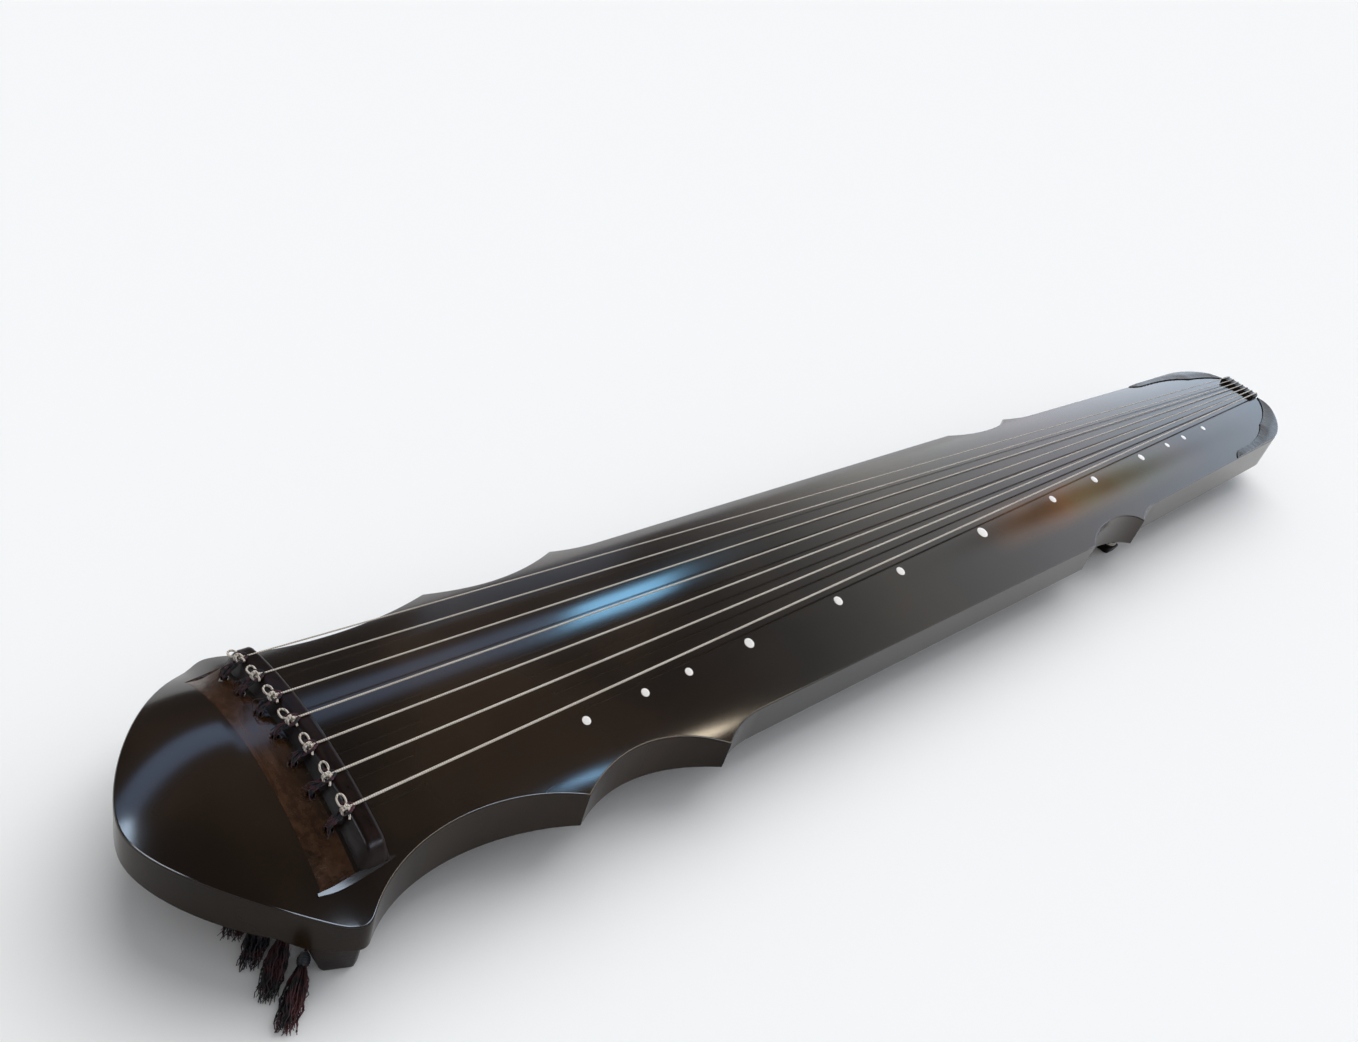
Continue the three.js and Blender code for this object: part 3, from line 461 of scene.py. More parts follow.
@dataclass(frozen=True)
class Proportions:
    """Sizes of the instrument in millimetres, from the bridge line, and the surfaces drawn from them.

    Half widths are measured from the middle line, and stand and seam from the floor. A cusp is a share of
    the string length with a half width. Each reach says how far a curve's two control points stand from its
    ends, as shares of its length; the head's and the tail's curves have a third share, for the width.
    """

    length: float = 1140.0
    head: float = 103.5
    tail: float = 14.0
    stand: float = 30.0
    seam: float = 40.0
    deep: float = 52.3
    deep_tail: float = 46.8
    arch: float = 187.0
    head_arch: float = 156.0
    ease_start: float = 12.0
    ease_end: float = 34.0
    fall: float = 22.0
    rise: float = 6.0
    rise_start: float = 46.0
    rise_end: float = 58.0
    corner: tuple[float, float] = (-21.3, 101.0)
    corner_ease: float = 5.0
    neck: float = 75.3
    cusps: tuple[tuple[float, float], ...] = ((0.107, 92.2), (0.203, 100.0), (0.61, 87.4), (0.69, 85.7))
    throat: float = 80.2
    chest: float = 89.8
    waist: float = 73.4
    flank: float = 75.9
    tail_half: float = 67.5
    tail_end_half: float = 22.0
    tail_corner: float = 57.0
    release: float = 36.0
    head_reach: tuple[float, float, float] = (0.298, 0.457, 0.81)
    neck_reach: tuple[float, float] = (0.203, 0.349)
    throat_reach: tuple[float, float] = (0.271, 0.39)
    waist_reach: tuple[float, float] = (0.19, 0.23)
    tail_reach: tuple[float, float, float] = (0.53, 0.93, 0.47)
    seat: float = 0.3
    thick_string: float = 1.5
    thin_string: float = 0.9
    pitch: float = 20.0
    pitch_nut: float = 6.0
    offset: float = 5.6
    bridge_front: float = 18.5
    bridge_lean: float = 6.0
    bridge_back: float = 3.2
    bridge_half: float = 80.0
    bridge_height: float = 8.3
    bridge_radius: float = 238.0
    plate_length: float = 20.5
    plate_inset: float = 1.5
    loop_x: float = -22.5
    foot_x: float = 0.705 * 1140.0
    foot_y: float = 60.4
    peg_bottom: float = 10.0
    nut_half: float = 20.5
    nut_height: float = 3.4
    strings: int = 7

    @property
    def tail_end(self) -> float:
        """Where the body ends."""
        return self.length + self.tail

    @property
    def tip(self) -> float:
        """Where the head ends."""
        return -self.head

    @property
    def centre_x(self) -> float:
        """The frame's origin along the body: half way over everything, strings included."""
        return (self.tip + self.tail_end + self.seat + self.thick_string) / 2

    @property
    def plate_front(self) -> float:
        """The head plate's front edge."""
        return -self.bridge_front - self.plate_length

    def arch_at(self, x: float) -> float:
        """Radius of the arched top at a place.

        Args:
            x: place along the body.

        Returns:
            The radius.
        """
        share = min(max((-self.ease_start - x) / (self.ease_end - self.ease_start), 0), 1)
        share = share * share * (3 - 2 * share)
        return self.arch + (self.head_arch - self.arch) * share

    def crest(self, x: float) -> float:
        """Height of the top along its middle line.

        Args:
            x: place along the body.

        Returns:
            The height.
        """
        slope = (self.deep_tail - self.deep) / self.tail_end
        fallen = max(self.plate_front - x, 0) / (self.plate_front - self.tip)
        return self.stand + self.deep + slope * max(x, self.plate_front) - self.fall * fallen**2

    def top(self, x: float, y: float) -> float:
        """Height of the top at a place.

        Args:
            x: place along the body.
            y: place across the body.

        Returns:
            The height.
        """
        radius = self.arch_at(x)
        return self.crest(x) - radius + math.sqrt(max(radius**2 - y**2, 1))

    def normal(self, x: float, y: float) -> Vector:
        """Which way the top faces at a place.

        Args:
            x: place along the body.
            y: place across the body.

        Returns:
            A unit vector.
        """
        along = self.top(x + 0.5, y) - self.top(x - 0.5, y)
        across = self.top(x, y + 0.5) - self.top(x, y - 0.5)
        return Vector((-along, -across, 1)).normalized()

    def underside(self, x: float) -> float:
        """Height of the underside at a place.

        Args:
            x: place along the body.

        Returns:
            The height.
        """
        share = (-self.rise_start - x) / (self.rise_end - self.rise_start)
        return self.stand + self.rise * min(max(share, 0), 1)

    def string_y(self, index: int, share: float = 0.0) -> float:
        """Where a string stands across the body, at a share of its length.

        Args:
            index: the string, from 0 on the markers' side.
            share: how far from the bridge to the nut.

        Returns:
            The place across the body.
        """
        pitch = self.pitch + (self.pitch_nut - self.pitch) * share
        return self.offset + (index - (self.strings - 1) / 2) * pitch

    def string_width(self, index: int) -> float:
        """A string's diameter."""
        return self.thick_string + (self.thin_string - self.thick_string) * index / (self.strings - 1)

    def bridge_top(self, y: float) -> float:
        """Height of the bridge's top."""
        rise = math.sqrt(self.bridge_radius**2 - y**2)
        return self.crest(0) + self.bridge_height - self.bridge_radius + rise

    def side(self, steps: int) -> list[Vector]:
        """One side of the outline, from the head's tip to the tail's end.

        Args:
            steps: how many steps each curve has.

        Returns:
            Flat points with positive Y.
        """
        cusps = [Vector((share * self.length, half)) for share, half in self.cusps]
        corner = Vector(self.corner)
        tip = Vector((self.tip, 0))
        flat, bent, wide = self.head_reach
        cheek = self.tip + bent * (corner.x - self.tip)
        last = self.tail_end - self.tail_corner
        straight, drawn_in, share = self.tail_reach
        low = self.tail_end_half + share * (self.tail_half - self.tail_end_half)
        curves = [
            (tip, Vector((self.tip, flat * corner.y)), Vector((cheek, wide * corner.y)), corner),
            self.bay(corner, cusps[0], self.neck, *self.neck_reach),
            self.bay(cusps[0], cusps[1], self.throat, *self.throat_reach),
            self.settle(cusps[1], self.chest),
            self.bay(cusps[2], cusps[3], self.waist, *self.waist_reach),
            self.settle(cusps[3], self.flank),
            (Vector((last, self.tail_half)), Vector((last + straight * self.tail_corner, self.tail_half)),
             Vector((last + drawn_in * self.tail_corner, low)), Vector((self.tail_end, self.tail_end_half))),
        ]
        points: list[Vector] = []
        for curve in curves:
            run = [bezier(curve, i / steps) for i in range(steps + 1)]
            if points and (points[-1] - run[0]).length > 1:
                gap = int((run[0] - points[-1]).length / 12)
                points += [points[-1].lerp(run[0], (i + 1) / gap) for i in range(gap - 1)]
            points += run if not points or (points[-1] - run[0]).length > 0.01 else run[1:]
        return self.eased(points, corner)

    def bay(self, start: Vector, end: Vector, narrowest: float, first: float,
            last: float) -> tuple[Vector, ...]:
        """A bay between two cusps, as one cubic curve.

        Args:
            start: the first cusp.
            end: the second cusp.
            narrowest: half the body's width at its narrowest.
            first: how far the first control point reaches, as a share of the bay.
            last: the same at its end.

        Returns:
            The curve's four points.
        """
        depth = (8 * narrowest - start.y - end.y) / 6
        span = end.x - start.x
        return start, Vector((start.x + first * span, depth)), Vector((end.x - last * span, depth)), end

    def settle(self, cusp: Vector, half: float) -> tuple[Vector, ...]:
        """The short curve from a cusp back to the side, as a cubic.

        Args:
            cusp: where it starts.
            half: half the body's width where it ends.

        Returns:
            The curve's four points.
        """
        end = Vector((cusp.x + self.release, half))
        pull = Vector((cusp.x + 0.35 * self.release, half))
        return cusp, cusp.lerp(pull, 2 / 3), end.lerp(pull, 2 / 3), end

    def eased(self, points: list[Vector], corner: Vector) -> list[Vector]:
        """The outline with its head corner rounded off.

        Args:
            points: the outline.
            corner: the corner's sharp point.

        Returns:
            The new outline.
        """
        at = min(range(len(points)), key=lambda i: (points[i] - corner).length)
        before = [p for p in points[:at] if (p - corner).length > self.corner_ease]
        after = [p for p in points[at + 1 :] if (p - corner).length > self.corner_ease]
        start = corner + (before[-1] - corner).normalized() * self.corner_ease
        end = corner + (after[0] - corner).normalized() * self.corner_ease
        curve = (start, start.lerp(corner, 2 / 3), end.lerp(corner, 2 / 3), end)
        return before + [bezier(curve, i / 6) for i in range(7)] + after


def bezier(curve: tuple[Vector, ...], t: float) -> Vector:
    """A point on a cubic curve.

    Args:
        curve: its four points.
        t: how far along, from 0 to 1.

    Returns:
        The point.
    """
    a, b, c, d = curve
    s = 1 - t
    return a * s**3 + b * (3 * t * s * s) + c * (3 * t * t * s) + d * t**3


SHAPE = Proportions()
# heights between which the holes for the silk loops are cut
LOOP_HOLE = (42, 95)
# where a cubic's control points stand on a quarter circle, as a share of its radius
QUARTER = 0.5523
# a line with a radius at each point
Thread = tuple[list[Vector], list[float]]


def frame_point(x: float, y: float, z: float) -> Vector:
    """A place in millimetres from the bridge line, in the frame's metres."""
    return Vector(((x - SHAPE.centre_x) * MM, y * MM, z * MM))


# Mesh tools


def finished(name: str, bm: bmesh.types.BMesh, material: bpy.types.Material | None,
             smooth: float = 35.0) -> bpy.types.Object:
    """Turns a mesh drawn in millimetres into a finished object in the frame.

    Args:
        name: the piece's name.
        bm: the mesh, which is freed.
        material: its finish.
        smooth: the sharpest angle that is shaded smooth, in degrees.

    Returns:
        The object.
    """
    bmesh.ops.remove_doubles(bm, verts=bm.verts, dist=0.001)
    bmesh.ops.recalc_face_normals(bm, faces=bm.faces)
    to_frame = Matrix.Scale(MM, 4) @ Matrix.Translation((-SHAPE.centre_x, 0, 0))
    bmesh.ops.transform(bm, matrix=to_frame, verts=bm.verts)
    mesh = bpy.data.meshes.new(name)
    bm.to_mesh(mesh)
    bm.free()
    if material:
        mesh.materials.append(material)
    mesh.shade_smooth()
    mesh.set_sharp_from_angle(angle=math.radians(smooth))
    piece = bpy.data.objects.new(name, mesh)
    bpy.context.scene.collection.objects.link(piece)
    return piece


def settle(piece: bpy.types.Object, body: str, slot: Slot, *nodes: str) -> bpy.types.Object:
    """Puts a finished piece on a body and reports it.

    Args:
        piece: the object.
        body: the CAD body that carries it.
        slot: the record's slot of its finish; not used.
        nodes: CAD nodes that it stands for.

    Returns:
        The same object.
    """
    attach(piece, body)
    if nodes:
        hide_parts(*nodes)
    stands_for = ", ".join(nodes) or "no node"
    LOG.info("%s on %s: %d faces, for %s", piece.name, body, len(piece.data.polygons), stands_for)
    return piece


def verts_in(parts: Sequence) -> list[bmesh.types.BMVert]:
    """The vertices among parts of a mesh."""
    return [part for part in parts if isinstance(part, bmesh.types.BMVert)]


def open_edges(parts: Sequence) -> list[bmesh.types.BMEdge]:
    """The edges among parts of a mesh that have a single face."""
    return [part for part in parts if isinstance(part, bmesh.types.BMEdge) and len(part.link_faces) == 1]


def lathe(bm: bmesh.types.BMesh, section: Sequence[tuple[float, float]], steps: int, closed: bool) -> None:
    """Turns a section round the upright axis.

    Args:
        bm: the mesh that it is added to.
        section: radius and height of each point.
        steps: how many steps a turn has.
        closed: whether the section's last point joins its first.
    """
    verts = [bm.verts.new((radius, 0, z)) for radius, z in section]
    following = verts[1:] + verts[:1] if closed else verts[1:]
    edges = [bm.edges.new(pair) for pair in zip(verts, following)]
    bmesh.ops.spin(bm, geom=verts + edges, cent=(0, 0, 0), axis=(0, 0, 1), angle=FULL_TURN, steps=steps,
                   use_merge=True, dvec=(0, 0, 0))


def side_name(side: int) -> str:
    """The name of a side: near is the markers'."""
    return "near" if side < 0 else "far"


def flat_face(bm: bmesh.types.BMesh, points: list[Vector], z: float) -> bmesh.types.BMFace:
    """Adds a flat face on an outline.

    Args:
        bm: the mesh.
        points: the outline, in order.
        z: its height.

    Returns:
        The face.
    """
    return bm.faces.new([bm.verts.new((point.x, point.y, z)) for point in points])


def raised(bm: bmesh.types.BMesh, faces: list[bmesh.types.BMFace], by: Vector) -> list[bmesh.types.BMFace]:
    """Extrudes faces.

    Args:
        bm: the mesh.
        faces: what is extruded.
        by: how far.

    Returns:
        The moved faces.
    """
    edges = {edge for face in faces for edge in face.edges}
    made = bmesh.ops.extrude_face_region(bm, geom=[*faces, *edges])["geom"]
    bmesh.ops.translate(bm, vec=by, verts=verts_in(made))
    return [part for part in made if isinstance(part, bmesh.types.BMFace)]


def round_edges(bm: bmesh.types.BMesh, edges: list[bmesh.types.BMEdge], width: float,
                segments: int = 3) -> None:
    """Bevels edges.

    Args:
        bm: the mesh.
        edges: the edges.
        width: the bevel's reach.
        segments: its steps.
    """
    bmesh.ops.bevel(bm, geom=edges, offset=width, segments=segments, profile=0.5, affect="EDGES", material=-1,
                    clamp_overlap=True)


def sharp_edges(bm: bmesh.types.BMesh, angle: float = 40.0) -> list[bmesh.types.BMEdge]:
    """The edges whose faces meet at more than an angle.

    Args:
        bm: the mesh.
        angle: the least angle, in degrees.

    Returns:
        The edges.
    """
    limit = math.radians(angle)
    return [edge for edge in bm.edges if len(edge.link_faces) == 2 and edge.calc_face_angle() > limit]


def sliced(bm: bmesh.types.BMesh, geom: list, axis: int, cuts: list[float]) -> None:
    """Cuts geometry with planes across an axis.

    Args:
        bm: the mesh.
        geom: what is cut; the list grows with what the cuts make.
        axis: 0 for planes across X, 1 for Y.
        cuts: where the planes stand.
    """
    normal = Vector((0, 0, 0))
    normal[axis] = 1
    for cut in cuts:
        place = normal * cut
        made = bmesh.ops.bisect_plane(bm, geom=geom, dist=0.0001, plane_co=place, plane_no=normal)
        geom[:] = made["geom"]


def offset_outline(points: list[Vector], reach: float) -> list[Vector]:
    """Moves a closed outline outward.

    Args:
        points: the outline, counter-clockwise.
        reach: how far it moves; inward when negative.

    Returns:
        The new outline.
    """
    moved = []
    for i, point in enumerate(points):
        along = (points[(i + 1) % len(points)] - points[i - 1]).normalized()
        moved.append(point + Vector((along.y, -along.x)) * reach)
    return moved


@dataclass(frozen=True)
class Arched:
    """A solid on an outline whose upper face follows the arched top."""

    outline: list[Vector]
    lift: float = 0.0
    rings: tuple[float, ...] = (1.9, 1.6)
    cell: tuple[float, float] = (8.0, 7.0)
    extra: tuple[float, ...] = ()

    def upper(self) -> tuple[bmesh.types.BMesh, list[bmesh.types.BMEdge]]:
        """Makes the upper face.

        Returns:
            The mesh and the edges of its rim.
        """
        bm = bmesh.new()
        face = flat_face(bm, self.outline, 0)
        bm.normal_update()
        if face.normal.z < 0:
            face.normal_flip()
        for ring in self.rings:
            bmesh.ops.inset_region(bm, faces=[face], thickness=ring, use_even_offset=True,
                                   use_boundary=True)
        geom = [face, *face.edges, *face.verts]
        xs = [point.x for point in self.outline]
        ys = [point.y for point in self.outline]
        for axis, (low, high) in enumerate(((min(xs), max(xs)), (min(ys), max(ys)))):
            count = int((high - low) / self.cell[axis])
            cuts = [low + (high - low) * (i + 0.5) / (count + 1) for i in range(count + 1)]
            sliced(bm, geom, axis, cuts)
        sliced(bm, geom, 0, list(self.extra))
        for vert in bm.verts:
            vert.co.z = SHAPE.top(vert.co.x, vert.co.y) + self.lift
        return bm, open_edges(bm.edges)

    def solid(self, low: float) -> bmesh.types.BMesh:
        """Closes the shape below with a flat face at a height.

        Args:
            low: the height.

        Returns:
            The mesh.
        """
        bm, rim = self.upper()
        made = bmesh.ops.extrude_edge_only(bm, edges=rim)["geom"]
        for vert in verts_in(made):
            vert.co.z = low
        bmesh.ops.edgeloop_fill(bm, edges=open_edges(made))
        bmesh.ops.recalc_face_normals(bm, faces=bm.faces)
        return bm

    def plate(self, depth: float) -> bmesh.types.BMesh:
        """Gives the shape a thickness straight down.

        Args:
            depth: the thickness.

        Returns:
            The mesh.
        """
        bm, _ = self.upper()
        raised(bm, bm.faces[:], Vector((0, 0, -depth)))
        bmesh.ops.recalc_face_normals(bm, faces=bm.faces)
        return bm


def upper_rim(bm: bmesh.types.BMesh, lift: float) -> list[bmesh.types.BMEdge]:
    """The edges where an arched face meets its upright sides.

    Args:
        bm: the mesh.
        lift: how far the face stands over the arched top.

    Returns:
        The edges.
    """
    bm.normal_update()
    rim = []
    for edge in bm.edges:
        on_top = all(abs(v.co.z - SHAPE.top(v.co.x, v.co.y) - lift) < 0.01 for v in edge.verts)
        if on_top and len(edge.link_faces) == 2 and edge.calc_face_angle() > math.radians(35):
            rim.append(edge)
    return rim


def drill(x: float, y: float, width: float, low: float, high: float) -> bpy.types.Object:
    """A cutter for an upright round hole.

    Args:
        x: place along the body.
        y: place across the body.
        width: the hole's diameter.
        low: its lower end.
        high: its upper end.

    Returns:
        The cutter.
    """
    bm = bmesh.new()
    bmesh.ops.create_cone(bm, cap_ends=True, segments=24, radius1=width / 2, radius2=width / 2,
                          depth=high - low)
    bmesh.ops.translate(bm, vec=(x, y, (low + high) / 2), verts=bm.verts)
    return finished("drill", bm, None)


def loop_drills(width: float) -> list[bpy.types.Object]:
    """Cutters for the seven holes that the silk loops pass through."""
    return [drill(SHAPE.loop_x, SHAPE.string_y(index), width, *LOOP_HOLE) for index in range(SHAPE.strings)]


def block(name: str, low: tuple[float, float, float], high: tuple[float, float, float],
          material: bpy.types.Material | None, edge: float = 0.0, segments: int = 4) -> bpy.types.Object:
    """A box between two corners, its edges rounded if asked.

    Args:
        name: the piece's name.
        low: its least corner.
        high: its greatest corner.
        material: its finish.
        edge: how far the rounding reaches.
        segments: its steps.

    Returns:
        The object.
    """
    bm = bmesh.new()
    bmesh.ops.create_cube(bm, size=1)
    bmesh.ops.scale(bm, vec=Vector(high) - Vector(low), verts=bm.verts)
    bmesh.ops.translate(bm, vec=(Vector(high) + Vector(low)) / 2, verts=bm.verts)
    if edge:
        round_edges(bm, bm.edges[:], edge, segments)
    return finished(name, bm, material, 45.0)


def spun(name: str, threads: list[Thread], material: bpy.types.Material,
         sides: int = 8) -> bpy.types.Object:
    """Makes round closed tubes along centrelines.

    Args:
        name: the piece's name.
        threads: centrelines in millimetres, with a radius at each point.
        material: the finish.
        sides: faces round each tube, an even number.

    Returns:
        One mesh object in the frame.
    """
    curve = bpy.data.curves.new(name, "CURVE")
    curve.dimensions = "3D"
    curve.bevel_depth = 1.0
    curve.bevel_resolution = max(sides // 2 - 2, 0)
    curve.use_fill_caps = True
    curve.twist_mode = "MINIMUM"
    for points, radii in threads:
        spline = curve.splines.new("POLY")
        spline.points.add(len(points) - 1)
        for target, point, radius in zip(spline.points, points, radii):
            target.co = (*point, 1)
            target.radius = radius
    drawn = bpy.data.objects.new(name + "_line", curve)
    bpy.context.scene.collection.objects.link(drawn)
    graph = bpy.context.evaluated_depsgraph_get()
    mesh = bpy.data.meshes.new_from_object(drawn.evaluated_get(graph))
    bpy.data.objects.remove(drawn)
    bpy.data.curves.remove(curve)
    bm = bmesh.new()
    bm.from_mesh(mesh)
    bpy.data.meshes.remove(mesh)
    return finished(name, bm, material, 60.0)


def even(line: list[Vector], radius: float) -> Thread:
    """A thread of one thickness: its line with the radius at each point."""
    return line, [radius] * len(line)


def full_turn(steps: int) -> list[float]:
    """The angles of a full turn in even steps, both ends included."""
    return [FULL_TURN * i / steps for i in range(steps + 1)]


def smoothed(points: list[Vector], every: float) -> list[Vector]:
    """Points along a smooth line through given points.

    Args:
        points: what the line passes through.
        every: the longest step between new points.

    Returns:
        The new points.
    """
    line = []
    count = len(points)
    for i in range(count - 1):
        before = points[max(i - 1, 0)]
        after = points[min(i + 2, count - 1)]
        a, d = points[i], points[i + 1]
        curve = (a, a + (d - before) / 6, d - (after - a) / 6, d)
        steps = max(int((d - a).length / every), 1)
        line += [bezier(curve, k / steps) for k in range(steps)]
    return line + [points[-1]]


def plied(path: list[Vector], reach: float, turn: float, strands: int,
          phase: float = 0.0) -> list[list[Vector]]:
    """Strands twisted round a path.

    Args:
        path: the middle line, closely spaced.
        reach: how far a strand's middle is from the path.
        turn: length of one full turn.
        strands: how many strands.
        phase: where the first one starts, in radians.

    Returns:
        A line for each strand.
    """
    lines: list[list[Vector]] = [[] for _ in range(strands)]
    axis = (path[1] - path[0]).normalized()
    side = axis.orthogonal().normalized()
    gone = 0.0
    for i, point in enumerate(path):
        ahead = path[min(i + 1, len(path) - 1)] - path[max(i - 1, 0)]
        turned = ahead.normalized()
        side = (axis.rotation_difference(turned) @ side).normalized()
        axis = turned
        other = axis.cross(side)
        if i:
            gone += (point - path[i - 1]).length
        for k in range(strands):
            angle = phase + FULL_TURN * (gone / turn + k / strands)
            lines[k].append(point + side * (reach * math.cos(angle)) + other * (reach * math.sin(angle)))
    return lines


def carved(piece: bpy.types.Object, cutters: list[bpy.types.Object]) -> None:
    """Cuts solids out of a piece and removes the cutters.

    Args:
        piece: what is cut.
        cutters: closed solids.
    """
    for cutter in cutters:
        cut = piece.modifiers.new("cut", "BOOLEAN")
        cut.operation = "DIFFERENCE"
        cut.solver = "EXACT"
        cut.object = cutter
    graph = bpy.context.evaluated_depsgraph_get()
    mesh = bpy.data.meshes.new_from_object(piece.evaluated_get(graph))
    piece.modifiers.clear()
    old = piece.data
    piece.data = mesh
    bpy.data.meshes.remove(old)
    for cutter in cutters:
        bpy.data.objects.remove(cutter)


# Sub-assemblies


@dataclass
class Finishes:
    """Every finish, built once.

    A second lacquer is the same coat made to mirror less; it goes on the upright sides by the head so that
    they render darker, as painted shade. The oiled rosewood is left without a coat and shines little; the
    chestnut brown plate is polished and shines more; the tail's plates are waxed and look grey where they
    mirror the room, and their colour is also a greyer, lighter tone than the rosewood's, a painted share of
    that grey.
    """

    lacquer: bpy.types.Material = field(default_factory=lambda: Lacquer().material(SHAPE.centre_x))
    # painted shade: a copy of the lacquer that mirrors less, so that the upright sides by the head render
    # dark
    side_shade: bpy.types.Material = field(
        default_factory=lambda: Lacquer("raw_lacquer_painted_side_shade", specular=0.1).material(SHAPE.centre_x))
    rosewood: bpy.types.Material = field(
        default_factory=lambda: Hardwood("oiled_rosewood", "#120c0a", "#241612", 0.3, coat=0.0,
                                         specular=0.12).material())
    chestnut: bpy.types.Material = field(
        default_factory=lambda: Hardwood("polished_chestnut_rosewood", "#22140a", "#472b11", 0.18).material())
    # partly painted reflection: the tail plates' wood is greyer and lighter than the rosewood, toward the
    # pale room that they mirror
    plate_wood: bpy.types.Material = field(
        default_factory=lambda: Hardwood("waxed_tail_rosewood_painted_haze", "#1c1a19", "#2a2725", 0.26,
                                         coat=0.0).material())
    shell: bpy.types.Material = field(default_factory=lambda: Shell().material())
    wire: bpy.types.Material = field(default_factory=lambda: WrappedWire().material())
    loop_silk: bpy.types.Material = field(
        default_factory=lambda: Silk("twisted_loop_silk", "#150e10", "#4d1a24", 0.5).material())
    tassel_silk: bpy.types.Material = field(
        default_factory=lambda: Silk("dyed_tassel_silk", "#1c1210", "#571f21", 0.5, 9.0).material())
    fir: bpy.types.Material = field(default_factory=lambda: BareFir().material())


@dataclass(frozen=True)
class Pane:
    """A window of the room, which the lacquer mirrors: metres, with a radiance of 1 for white."""

    name: str
    place: tuple[float, float, float]
    size: tuple[float, float]
    facing: tuple[float, float, float]
    radiance: float
    colour: str


@dataclass(frozen=True)
class Broad:
    """A broad soft light: watts per square metre, and how wide it looks in degrees."""

    name: str
    toward: tuple[float, float, float]
    power: float
    spread: float


